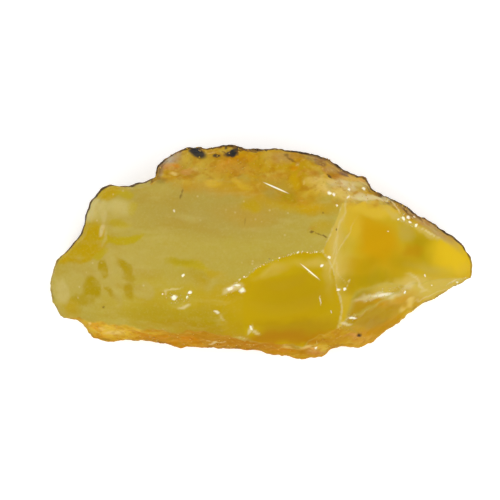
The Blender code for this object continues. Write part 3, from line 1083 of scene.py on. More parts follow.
BODY_PATCHES = toned(
    # Broad shades of the top, with the milky veil of the main face: partly milk, partly painted sheen.
    (Tone.MILK_AND_SHEEN_BACK, (-6.8, 5.6, 12, 3.12, -3, 0.7, 0.8), (-5.6, 3.6, 7.2, 1.68, -2, 0.8, 0.5)),
    (Tone.MILK, (-13.4, -0.4, 7.2, 1.44, 2, 0.9, 0.4)),
    (Tone.MILK_AND_SHEEN_FRONT, (-9.2, -5.8, 10.2, 2.4, -4, 0.7, 0.9)),
    (Tone.HONEY, (-3.1, -6.5, 4.8, 2.64, -6, 0.7, 0.75)),
    (Tone.OLIVE, (-9.2, -8, 7.44, 1.2, -7, 0.6, 0.85), (-3.2, -9, 5.4, 1.08, 0, 0.6, 0.7)),
    (Tone.SHADE, (-4.4, -9.7, 7.2, 0.48, 0, 0.7, 0.6)),
    (Tone.LIME, (-8.4, -1.7, 2.4, 0.6, -13, 0.35, 0.9)),
    (Tone.HONEY, (-5.6, -2.6, 1.2, 0.5, -20, 0.5, 0.7)),
    (Tone.MOSS, (-9.3, -1.4, 1.44, 0.42, -8, 0.6, 0.5)),
    (Tone.HONEY, (-6.8, -3.7, 0.96, 0.72, 0, 0.6, 0.6)),
    (Tone.MILK, (-5.7, -3.7, 1.32, 0.54, 38, 0.6, 0.55)),
    (Tone.OLIVE, (-7.5, -3.1, 1.7, 0.7, -10, 0.5, 0.6), (-5.9, -7.4, 2.4, 0.8, -8, 0.6, 0.6)),
    (Tone.SHADE, (-2.0, -8.8, 1.8, 0.7, 0, 0.6, 0.55)),
    (Tone.PALE_MILK, (-19.1, 2.7, 0.7, 1.0, 10, 0.6, 0.8)),
    (Tone.PEARL_AND_GLARE, (-20.7, 4.7, 0.9, 1.4, 20, 0.7, 0.5)),
    (Tone.MILK, (-12.0, 7.0, 2.0, 1.0, 10, 0.8, 0.5)),
    (Tone.SHADE, (-8.4, -8.9, 4.0, 0.6, -4, 0.7, 0.5)),
    (Tone.MILK, (-8.6, -3.5, 2.4, 0.48, -12, 0.8, 0.35)),
    # The blunt end: clear honey in milk.
    (Tone.MILK, (-20.3, -1.9, 5.52, 3.84, 0, 0.5, 0.8), (-18.4, 4.8, 2.88, 1.68, 0, 0.6, 0.7)),
    (Tone.PALE_MILK, (-20, 5.2, 1.68, 1.08, 20, 0.5, 0.8), (-17.1, 5.3, 1.56, 0.72, 0, 0.6, 0.6)),
    (Tone.HONEY, (-21.8, 0.2, 2.52, 1.56, 28, 0.25), (-20.3, 2, 1.8, 1.44, 45, 0.3),
     (-23.1, -0.7, 1.2, 0.84, 20, 0.3, 0.95), (-21.5, 0.5, 1.9, 1.9, 20, 0.2),
     (-19.4, 0.6, 1.2, 0.8, 18, 0.3)),
    (Tone.LIME, (-18.9, -0.3, 1.0, 0.5, 25, 0.4, 0.9), (-16, 1.6, 2.1, 0.5, 11, 0.2),
     (-18.1, 1.3, 1.2, 0.5, 6, 0.4), (-15.42, 5.28, 0.55, 0.7, 20, 0.4, 0.55),
     (-16.9, 3.6, 1.2, 0.5, 4, 0.4, 0.7)),
    (Tone.OLIVE, (-18.54, -1.92, 0.6, 1.02, 10, 0.25), (-16.38, -1.68, 0.48, 1.2, 32, 0.3),
     (-15.8, -3, 0.84, 0.48, -30, 0.4, 0.8), (-15.9, -4.68, 0.48, 0.96, 0, 0.3, 0.9),
     (-20.2, -4.4, 0.84, 1.2, -8, 0.25), (-21.4, -5.6, 1.8, 0.7, 10, 0.35, 0.8),
     (-17.9, -4.9, 1.32, 0.31, -42, 0.3)),
    (Tone.HONEY, (-22.9, -6.6, 1.2, 0.8, -20, 0.5, 0.8)),
    (Tone.PALE_MILK, (-24.0, -4.6, 0.8, 1.6, 0, 0.5, 0.6)),
    (Tone.HONEY, (-18.2, 7.1, 1.7, 0.85, 8, 0.3, 0.95)),
    (Tone.LIME, (-16.2, 6.9, 0.9, 0.6, 0, 0.4, 0.7)),
    (Tone.OLIVE, (-23.94, -2.28, 0.72, 0.72, 20, 0.7, 0.4)),
    (Tone.MILK, (-14, -4.6, 1.32, 0.84, 0, 0.25, 0.8), (-17.46, -1.2, 0.48, 1.08, 12, 0.5, 0.7),
     (-17.22, -4.56, 0.36, 1.68, 10, 0.5, 0.7)),
    (Tone.PALE_MILK, (-18.66, 1.44, 0.24, 1.08, -20, 0.5, 0.5)),
    (Tone.PEARL_AND_GLARE, (-19.1, 2.6, 0.36, 0.8, -18, 0.3, 0.6), (-18.66, 4.2, 0.36, 0.72, -15, 0.5, 0.25)),
    # The wall below the tip.
    (Tone.AMBER_DARK, (14.6, -9.6, 5.4, 2.6, 34, 0.5, 0.95)),
    (Tone.CLAY, (17.6, -6.6, 1.6, 0.7, 38, 0.5, 0.8)),
    (Tone.UMBER, (13.0, -8.4, 3.4, 0.8, 16, 0.5, 0.8)),
    (Tone.GOLD, (20.5, -5.6, 3.0, 1.4, 30, 0.6, 0.8)),
    (Tone.PALE_GOLD, (23.2, -4.2, 2.6, 1.0, 25, 0.6, 0.8)),
    (Tone.SUN, (25.0, -1.6, 1.6, 2.0, 0, 0.5, 0.9)),
    (Tone.PALE_GOLD, (20.6, -5.0, 3.4, 1.1, 26, 0.6, 0.8)),
    # The back of the top.
    (Tone.OCHRE, (-1.6, 4.4, 3.0, 1.1, -6, 0.8, 0.35)),
    (Tone.CLAY, (-4.0, 7.6, 4.6, 1.0, -6, 0.7, 0.5)),
    (Tone.OCHRE, (-1.0, 7.2, 3.4, 1.0, -10, 0.7, 0.7)),
    (Tone.BRIGHT_SKIN, (-5.6, 8.4, 0.9, 0.6, 0, 0.5, 0.8), (-3.0, 8.4, 0.6, 0.42, -30, 0.45, 0.9),
     (-2.1, 7.7, 0.9, 0.5, -28, 0.45, 0.95)),
    (Tone.HONEY, (-1.4, 5.4, 1.32, 0.6, 0, 0.4, 0.9)),
    (Tone.AMBER, (0.8, 6.4, 4.08, 1.2, -16, 0.7, 0.7), (-2.6, 7.7, 3.6, 0.72, -6, 0.8, 0.5)),
    (Tone.HONEY, (4.3, 5.3, 2.88, 0.78, -5, 0.5, 0.8)),
    (Tone.OLIVE, (3.2, 6.4, 1.2, 0.6, -10, 0.6, 0.8)),
    (Tone.AMBER, (6.8, 5.3, 2.64, 0.96, 0, 0.7, 0.7)),
    (Tone.KHAKI, (1.1, 7.3, 1.9, 1.0, -25, 0.5, 0.9)),
    (Tone.SUN_SKIN, (5.6, 5.7, 1.6, 0.7, -10, 0.5, 0.7)),
    (Tone.HONEY, (7.1, 2.8, 1.08, 0.72, 15, 0.7, 0.6)),
    (Tone.RUST, (6.18, 2.64, 0.48, 0.1, 5, 0.6, 0.5)),
)  # fmt: skip

SCOOP_PATCHES = toned(
    (Tone.SCOOP_PALE, (3.4, -1.9, 5.28, 1.2, 8, 0.6, 0.9), (7.3, -2.8, 1.68, 1.44, 0, 0.7, 0.7)),
    (Tone.PALE_GOLD, (6.6, -1.5, 2.6, 0.55, -4, 0.8, 0.6), (8.0, -3.4, 0.5, 1.9, 10, 0.8, 0.55),
     (1.2, -2.3, 1.6, 0.4, 22, 0.8, 0.6)),
    (Tone.HONEY, (-1.4, -5.8, 2.16, 2.4, 0, 0.7, 0.8), (8.8, -5.8, 1.2, 2.64, 10, 0.6, 0.6)),
    (Tone.DEEP, (3.7, -4.8, 4.08, 2.4, 5, 0.6)),
    (Tone.SHADE, (4, -9.1, 6, 0.96, 2, 0.7, 0.8)),
    (Tone.RUSTY, (3.2, -10.2, 6.96, 0.7, 1, 0.7, 0.75)),
    (Tone.SCOOP_PALE, (-1.7, -9.4, 1.68, 0.6, 0, 0.5, 0.6)),
)  # fmt: skip

RIGHT_PATCHES = toned(
    (Tone.PALE_GOLD, (9.4, -0.4, 1.44, 4.8, -6, 0.6, 0.8), (9.4, -1.9, 1.3, 1.6, 0, 0.8, 0.5)),
    (Tone.GOLD, (12.8, 5.6, 3.36, 1.08, -8, 0.5, 0.9)),
    (Tone.HONEY, (10.9, 4.4, 1.68, 1.68, 0, 0.8, 0.6)),
    (Tone.ORANGE, (12.7, 2.9, 2.4, 1.44, -10, 0.6, 0.75), (14, 0.7, 2.28, 2.4, -25, 0.4)),
    (Tone.SCOOP_PALE, (10.1, 1.4, 1.2, 2.4, 0, 0.8, 0.6)),
    (Tone.AMBER, (16.1, -1.2, 2.16, 1.68, 20, 0.7, 0.6)),
    (Tone.OLIVE, (19.5, 0.6, 2.4, 1.44, -38, 0.6, 0.9), (17.2, -1.2, 1.44, 0.96, 0, 0.7, 0.5)),
    (Tone.SUN, (22.4, -0.3, 1.9, 1.4, -35, 0.9), (23.6, -1.2, 1.2, 1.2, 0, 0.6, 0.8)),
    (Tone.GOLD, (24.1, -2.2, 0.84, 0.84, 0, 0.6, 0.7)),
    (Tone.OLIVE, (12.5, -3.5, 3.6, 1.08, 8, 0.6, 0.95)),
    (Tone.DEEP, (10.9, -4, 1.44, 0.72, 20, 0.7, 0.8)),
    (Tone.AMBER, (12.2, -1.6, 1.9, 1.1, 10, 0.7, 0.9)),
    (Tone.DEEP, (12.4, -1.9, 1.4, 0.9, 10, 0.8, 0.6)),
    (Tone.PALE_GOLD, (18.5, -3.8, 3.6, 0.84, 6, 0.6, 0.9), (22.1, -4.3, 1.92, 0.6, 18, 0.6, 0.9)),
    (Tone.MILK, (20.5, -1.9, 2.4, 0.6, -8, 0.8, 0.4)),
    (Tone.GOLD, (13.2, 5.3, 3.4, 1.2, -8, 0.4, 0.9)),
    (Tone.PALE_GOLD, (8.9, 2.6, 0.9, 3.6, -14, 0.6, 0.75)),
    (Tone.GOLD, (10.8, 3.4, 1.1, 1.9, 10, 0.6, 0.6)),
    (Tone.AMBER_DARK, (18.2, 0.2, 1.3, 0.6, 0, 0.5, 0.7)),
    (Tone.MILK, (17.2, 2.4, 0.7, 1.0, 20, 0.6, 0.5)),
    (Tone.SUN, (22.6, -0.6, 2.4, 1.5, -32, 1.0, 0.6)),
    (Tone.PALE_GOLD, (19.4, 2.5, 3.12, 0.3, -29, 0.5, 0.8), (16, 4.3, 2.16, 0.36, -32, 0.7, 0.7)),
    (Tone.LILAC, (20.3, 2.9, 3.9, 0.5, -38, 0.5, 0.75)),
    # A dusky mark on the rim, partly the skin's colour and partly painted shade at the outline.
    (Tone.DUSK_AND_EDGE_SHADE, (17.0, 5.5, 1.2, 0.4, -36, 0.6, 0.7)),
)  # fmt: skip

LEDGE_PATCHES = toned(
    (Tone.OLIVE, (11.2, -4.8, 2.4, 1.5, 6, 0.6, 0.9)),
    (Tone.MOSS, (10.8, -4.8, 1.2, 0.8, 6, 0.6, 0.7)),
    (Tone.DEEP, (12.8, -7, 2.88, 0.84, 6, 0.6, 0.9)),
    (Tone.GOLD, (17.2, -7.2, 2.64, 0.8, 28, 0.6, 0.6)),
    (Tone.ORANGE, (17.4, -5.9, 1.9, 0.8, 24, 0.6, 0.8)),
    (Tone.AMBER, (16.6, -4.6, 1.2, 0.6, 10, 0.6, 0.6), (18.3, -6.1, 1.3, 0.8, 28, 0.6, 0.9)),
    (Tone.OLIVE, (13.4, -7.3, 2.6, 0.7, 12, 0.7, 0.6)),
    (Tone.PALE_GOLD, (20.2, -4.8, 2.64, 0.72, 22, 0.6, 0.8)),
    # Painted glare: a soft white reflection along the ledge.
    (Tone.PEARL_AND_GLARE, (14, -5.2, 2.52, 0.43, 8, 0.45, 0.95), (12.5, -5.6, 1.92, 0.14, 2, 0.4, 0.8)),
    (Tone.AMBER_DARK, (12.4, -6.9, 3.6, 1.2, 4, 0.7, 0.95)),
    (Tone.DEEP, (12.0, -6.6, 2.2, 0.7, 4, 0.6, 0.7)),
    (Tone.ORANGE, (14.2, -6.6, 0.8, 0.7, 0, 0.5, 0.7), (16.4, -5.7, 0.9, 0.5, 10, 0.5, 0.7)),
    # Darker amber and shade low under the ledge: partly the stone's own colour, partly painted shadow below
    # the ledge.
    (Tone.AMBER_DARK, (13.6, -9.4, 4.4, 1.2, 20, 0.5, 0.9)),
    (Tone.DEEP, (13.0, -7.6, 3.6, 0.9, 8, 0.6, 0.9)),
    (Tone.SHADE, (13.4, -8.3, 3.0, 0.4, 10, 0.7, 0.6)),
    (Tone.CLAY, (12.2, -10.2, 2.4, 1.1, 12, 0.5, 0.8), (15.7, -7.9, 1.68, 0.36, 24, 0.6, 0.6)),
    (Tone.CREAM_AND_HIGHLIGHT, (17.7, -6.12, 0.72, 0.36, 35, 0.5, 0.8), (16.62, -6.84, 0.48, 0.24, 30, 0.5, 0.7)),
    (Tone.AMBER, (10.6, -9, 1.68, 0.48, 0, 0.6, 0.9)),
)  # fmt: skip

SKIN_PATCHES = toned(
    # Along the back.
    (Tone.OLIVE_SKIN, (-7.4, 10.4, 4.08, 1.44, -5, 0.7, 0.7)),
    (Tone.ASH, (-11.3, 11, 1.7, 0.9, 38, 0.5, 0.8)),
    (Tone.LILAC, (-9.9, 11.64, 0.72, 0.96, 40, 0.6, 0.7)),
    (Tone.CLAY, (-12.18, 10.08, 0.48, 0.84, 0, 0.6, 0.8)),
    (Tone.YELLOW_SKIN, (-8.94, 11.28, 0.54, 0.96, 15, 0.5, 0.8)),
    (Tone.CORAL, (-10.7, 10.1, 1.08, 0.54, 0, 0.5, 0.8)),
    (Tone.FLAME, (-10.14, 10.2, 0.36, 0.36, 0, 0.6, 0.8)),
    (Tone.CORAL, (-8.8, 9.5, 1.08, 0.24, 3, 0.5, 0.6)),
    (Tone.CREAM_AND_HIGHLIGHT, (-10.5, 9.12, 0.43, 0.24, -5, 0.4, 0.9)),
    (Tone.PALE_MILK, (-11.82, 9.12, 0.36, 0.24, 20, 0.5, 0.7)),
    (Tone.CREAM_AND_HIGHLIGHT, (-8.1, 9.6, 0.16, 0.16, 0, 0.5, 0.8), (-7.5, 9.72, 0.17, 0.16, 0, 0.5, 0.9)),
    (Tone.YELLOW_SKIN, (-7.26, 10.08, 0.48, 0.36, 0, 0.5, 0.9), (-6.8, 8.9, 0.96, 0.6, -10, 0.7, 0.7),
     (-5.7, 8.5, 0.84, 0.72, 0, 0.5, 0.9)),
    (Tone.BRIGHT_SKIN, (-5.28, 8.88, 0.36, 0.36, 30, 0.5, 0.8)),
    (Tone.AMBER, (-2.6, 9.8, 4.32, 1.2, -2, 0.6, 0.9)),
    (Tone.FLAME, (-4.3, 10.3, 0.96, 0.48, 25, 0.7, 0.5)),
    (Tone.FIRE, (-2.2, 11.3, 1.6, 0.62, 14, 0.25), (-3.5, 10.8, 0.8, 0.42, 20, 0.3, 0.95)),
    (Tone.YELLOW_SKIN, (-4.4, 12.1, 1.08, 0.36, 8, 0.5, 0.7)),
    (Tone.CREAM_AND_HIGHLIGHT, (-5.94, 11.76, 0.42, 0.19, 0, 0.5, 0.7), (-6.78, 11.76, 0.14, 0.24, 0, 0.5, 0.8)),
    (Tone.BRIGHT_SKIN, (-3.06, 8.52, 0.54, 0.36, -30, 0.45, 0.9), (-2.2, 7.8, 0.84, 0.48, -28, 0.45, 0.9)),
    (Tone.YELLOW_SKIN, (-1.38, 7.44, 0.72, 0.48, 0, 0.6, 0.5)),
    # Along the back, towards the tip.
    (Tone.AMBER, (2.8, 10.4, 4.8, 1.92, -8, 0.7, 0.9)),
    (Tone.YELLOW_SKIN, (0.8, 11.3, 0.84, 1.08, 0, 0.7, 0.5)),
    (Tone.TANGERINE, (3.9, 9.9, 0.6, 0.36, 0, 0.4, 0.8)),
    (Tone.CREAM_AND_HIGHLIGHT, (4.32, 10.38, 0.14, 0.18, 0, 0.5, 0.9), (4.98, 10.86, 0.17, 0.12, 0, 0.5, 0.7)),
    (Tone.CLAY, (1.6, 9.1, 1.44, 0.6, 0, 0.7, 0.6)),
    (Tone.YELLOW_SKIN, (1.3, 9.4, 1.08, 0.24, 8, 0.6, 0.6)),
    (Tone.SUN_SKIN, (3.9, 8.2, 1.08, 0.96, 0, 0.35, 0.9)),
    (Tone.AMBER_DARK, (4.98, 8.28, 0.6, 0.72, 0, 0.5, 0.8)),
    (Tone.YELLOW_SKIN, (5.7, 8.28, 0.42, 0.6, 0, 0.6, 0.8)),
    (Tone.CREAM_AND_HIGHLIGHT, (5.4, 8.04, 0.12, 0.17, 0, 0.5, 0.9)),
    (Tone.OLIVE_SKIN, (1.5, 7.7, 2.0, 1.1, -25, 0.5, 0.8)),
    (Tone.KHAKI, (0.4, 6.7, 0.96, 0.72, -20, 0.7, 0.6)),
    (Tone.OLIVE, (3.2, 6.2, 1.08, 0.72, 0, 0.5, 0.9)),
    (Tone.CLAY, (4.9, 9.4, 0.96, 0.14, 48, 0.5, 0.7)),
    (Tone.CORAL, (6.06, 9.6, 0.6, 0.48, -20, 0.6, 0.35), (6.8, 8.5, 1.08, 0.18, 45, 0.6, 0.6)),
    (Tone.YELLOW_SKIN, (6.4, 10.2, 1.08, 0.24, -32, 0.5, 0.6)),
    (Tone.PLUM, (6.9, 10.9, 0.84, 0.26, -12, 0.5, 0.8)),
    (Tone.RUST, (7.26, 10.08, 0.6, 0.36, -40, 0.6, 0.7)),
    (Tone.CREAM_AND_HIGHLIGHT, (7.98, 9.72, 0.31, 0.22, 0, 0.5, 0.8), (7.14, 10.2, 0.14, 0.24, 0, 0.5, 0.6)),
    (Tone.RUST, (9.2, 8.9, 1.32, 0.31, -4, 0.6, 0.8)),
    (Tone.PLUM, (10, 9.4, 0.96, 0.31, -14, 0.45, 0.9)),
    (Tone.CREAM_AND_HIGHLIGHT, (7.5, 8.2, 1.32, 0.31, 0, 0.5, 0.8), (7.4, 7.4, 1.08, 0.6, 0, 0.6, 0.9)),
    (Tone.PEARL_AND_GLARE, (9.7, 7.9, 1.68, 0.54, -12, 0.6, 0.8)),
    (Tone.CREAM_AND_HIGHLIGHT, (10.9, 8.6, 1.44, 0.36, -8, 0.6, 0.7)),
    (Tone.CORAL, (12.06, 8.28, 0.6, 0.48, -40, 0.6, 0.8)),
    (Tone.PALE_MILK, (12.1, 7.7, 1.2, 0.6, 0, 0.6, 0.7)),
    (Tone.BRIGHT_SKIN, (9.4, 6.6, 1.92, 0.48, 0, 0.6, 0.7)),
    (Tone.PALE_GOLD, (12.0, 6.2, 3.0, 0.6, -10, 0.6, 0.9)),
    (Tone.UMBER, (-7.4, 11.0, 0.7, 0.5, 0, 0.6, 0.7)),
    (Tone.YELLOW_SKIN, (-6.6, 9.7, 1.9, 0.8, -4, 0.7, 0.7)),
    (Tone.CLAY, (-3.3, 9.8, 2.4, 0.7, -2, 0.7, 0.75)),
    (Tone.YELLOW_SKIN, (-8.8, 8.4, 1.4, 0.5, 6, 0.7, 0.6)),
    (Tone.GOLD, (6.6, 8.2, 1.2, 0.9, 0, 0.7, 0.7), (6.4, 6.9, 1.6, 0.5, 0, 0.7, 0.7)),
    (Tone.CREAM_AND_HIGHLIGHT, (9.2, 6.9, 1.6, 0.5, -8, 0.7, 0.6), (6.6, 8.4, 0.9, 0.6, -10, 0.7, 0.6)),
    (Tone.CLAY, (11.2, 8.6, 1.0, 0.4, -10, 0.6, 0.5)),
    (Tone.YELLOW_SKIN, (-9.2, 11.0, 1.0, 0.7, 20, 0.7, 0.4)),
    (Tone.LILAC, (2.6, 11.3, 1.4, 0.6, 0, 0.7, 0.5)),
    # Dusky marks near the top outline, partly the skin's colour and partly painted shade at the edge.
    (Tone.DUSK_AND_EDGE_SHADE, (9.7, 9.8, 0.9, 0.4, -26, 0.5, 0.75), (-12.0, 9.7, 0.5, 0.9, -10, 0.6, 0.6),
     (5.4, 11.4, 1.2, 0.3, -10, 0.6, 0.6)),
    (Tone.LILAC, (8.2, 9.9, 0.9, 0.5, -20, 0.6, 0.6), (20.3, 2.9, 3.9, 0.6, -38, 0.5, 0.75)),
    # The dusky rim mark again, partly painted shade at the outline.
    (Tone.DUSK_AND_EDGE_SHADE, (17.0, 5.5, 1.4, 0.4, -36, 0.6, 0.8)),
    # A pale line on the rim: partly crushed skin, partly painted highlight.
    (Tone.PEARL_AND_GLARE, (21.2, 1.9, 1.5, 0.16, -40, 0.6, 0.6)),
    # Along the front.
    (Tone.RUSTY, (-3.0, -11.2, 11.5, 1.5, -4, 0.6, 0.6)),
    (Tone.BRIGHT_SKIN, (-17.9, -9.1, 3.6, 1.32, -8, 0.5)),
    (Tone.FLAME, (-19.7, -8.8, 0.96, 0.6, -30, 0.6, 0.6)),
    # Cream blotches and dots on the skin in front: partly pale mineral, partly painted highlights on its
    # gloss.
    (Tone.CREAM_AND_HIGHLIGHT, (-17.7, -9.7, 1.08, 0.31, 0, 0.5, 0.8)),
    (Tone.BRIGHT_SKIN, (-16.2, -8.4, 1.6, 0.4, -12, 0.5, 0.8)),
    (Tone.RUSTY, (-14.6, -9.8, 1.1, 0.3, -8, 0.6, 0.7)),
    (Tone.BRIGHT_SKIN, (-12.2, -9.6, 1.0, 0.25, -10, 0.5, 0.7)),
    (Tone.FLAME, (-8.6, -10.6, 1.3, 0.4, -6, 0.5, 0.8)),
    (Tone.RUSTY, (-4.6, -11.2, 1.2, 0.3, 0, 0.6, 0.8), (0.4, -11.1, 2.0, 0.4, -3, 0.6, 0.8)),
    (Tone.CREAM_AND_HIGHLIGHT, (3.2, -11.5, 0.6, 0.2, -8, 0.5, 0.7), (-19.02, -9.12, 0.48, 0.24, 0, 0.6, 0.6)),
    (Tone.TANGERINE, (-19.3, -10, 0.96, 0.36, 0, 0.6, 0.6)),
    (Tone.CREAM_AND_HIGHLIGHT, (-20.7, -8.28, 0.24, 0.17, 0, 0.5, 0.8)),
    (Tone.FLAME, (-13.4, -10.1, 1.92, 0.48, -6, 0.7, 0.5)),
    (Tone.GOLD, (-14.6, -9, 1.92, 0.36, -14, 0.6, 0.6)),
    (Tone.TANGERINE, (-7.9, -11.2, 1.8, 0.36, 0, 0.6, 0.8)),
    (Tone.FLAME, (-10.7, -10.6, 0.96, 0.36, -10, 0.6, 0.7)),
    (Tone.CREAM_AND_HIGHLIGHT, (-5.3, -10.7, 1.08, 0.14, 0, 0.5, 0.8), (-2.58, -10.32, 0.72, 0.11, 0, 0.5, 0.6)),
    (Tone.CLAY, (-5.6, -11.3, 2.16, 0.24, 0, 0.6, 0.7)),
    (Tone.RUSTY, (-2, -10.9, 2.64, 0.36, -4, 0.6, 0.7)),
    (Tone.FLAME, (2.2, -11.8, 1.44, 0.36, -10, 0.6, 0.6)),
    (Tone.KHAKI, (4.4, -11.2, 1.44, 0.48, -8, 0.6, 0.7)),
    (Tone.CREAM_AND_HIGHLIGHT, (5.7, -11.52, 0.72, 0.3, -10, 0.6, 0.7)),
    (Tone.KHAKI, (7.5, -11.88, 0.6, 0.48, 0, 0.6, 0.6)),
    (Tone.RUSTY, (3.2, -10.4, 6.72, 0.36, 0, 0.6, 0.8)),
    (Tone.CLAY, (12.3, -10.4, 1.68, 0.84, 10, 0.5, 0.9)),
    (Tone.CORAL, (10.9, -10.2, 0.96, 0.36, 0, 0.6, 0.6)),
    (Tone.CREAM_AND_HIGHLIGHT, (13.5, -9.96, 0.6, 0.3, 20, 0.6, 0.6)),
    (Tone.OCHRE, (14, -9.5, 1.44, 0.48, 30, 0.6, 0.7), (-16.2, -9.0, 1.2, 0.5, -10, 0.6, 0.7)),
    (Tone.RUSTY, (-13.3, -10.4, 1.4, 0.4, -6, 0.6, 0.6)),
    (Tone.CORAL, (6.6, -11.9, 1.3, 0.5, 0, 0.6, 0.6)),
    (Tone.GOLD, (7.2, -11.4, 0.8, 0.4, 0, 0.6, 0.6)),
)  # fmt: skip

# Pale crushed opal at the crest fans, the crushed spots, the ledge and the rim; at the eye, the ledge and the
# rim it also stands for painted glints and glare.
BRUISE_AND_GLINT_PATCHES = [Patch(*numbers) for numbers in (
    (8.9, 2.2, 3.0, 0.11, 70, 0.8, 0.4), (9.5, 1.2, 2.3, 0.1, 57, 0.8, 0.4),
    (8.5, -0.4, 2.2, 0.12, 82, 0.8, 0.45), (9.0, -1.9, 1.9, 0.1, 112, 0.8, 0.35),
    (9.9, 5.2, 1.2, 0.12, 84, 0.7, 0.4), (-3.1, -4.4, 1.02, 0.48, 22, 0.5, 0.75),
    (-4.02, -4.92, 0.48, 0.22, 25, 0.6, 0.6), (-9.06, -6.48, 0.66, 0.12, 8, 0.5, 0.7),
    (-10.3, -4.4, 0.96, 0.08, 12, 0.5, 0.6), (-10.98, -4.8, 0.12, 0.48, -30, 0.5, 0.5),
    (-4.74, -8.04, 0.14, 0.6, 35, 0.6, 0.35), (-1.5, -9.12, 0.16, 0.5, -25, 0.6, 0.7),
    (-0.9, -9.42, 0.4, 0.14, -35, 0.6, 0.7), (-0.42, -9.72, 0.36, 0.11, 0, 0.5, 0.7),
    (-5.5, -10.7, 1.2, 0.1, 2, 0.5, 0.6), (-2.22, -10.26, 0.6, 0.08, 0, 0.5, 0.6),
    (5.9, -2.6, 1.08, 0.07, -44, 0.4, 0.8), (10.26, -3.9, 0.41, 0.08, 45, 0.5, 0.7),
    (10.26, -8.28, 0.54, 0.12, 0, 0.5, 0.8), (22.9, -3.8, 0.84, 0.12, 22, 0.5, 0.7),
    (20.2, -5.4, 1.92, 0.1, 22, 0.5, 0.5), (18.6, -3.6, 1.3, 0.16, -30, 0.7, 0.5),
    (17.6, -4.2, 0.7, 0.3, 20, 0.7, 0.5), (19.4, -4.4, 0.5, 0.18, 60, 0.7, 0.4),
    (20, 2.3, 1.44, 0.08, -30, 0.5, 0.7), (13.7, 6.2, 1.68, 0.17, -8, 0.4, 0.8),
    (12.8, 6.5, 2.16, 0.26, -8, 0.5, 0.8), (15.9, 5.3, 0.96, 0.12, -42, 0.5, 0.8),
)]  # fmt: skip

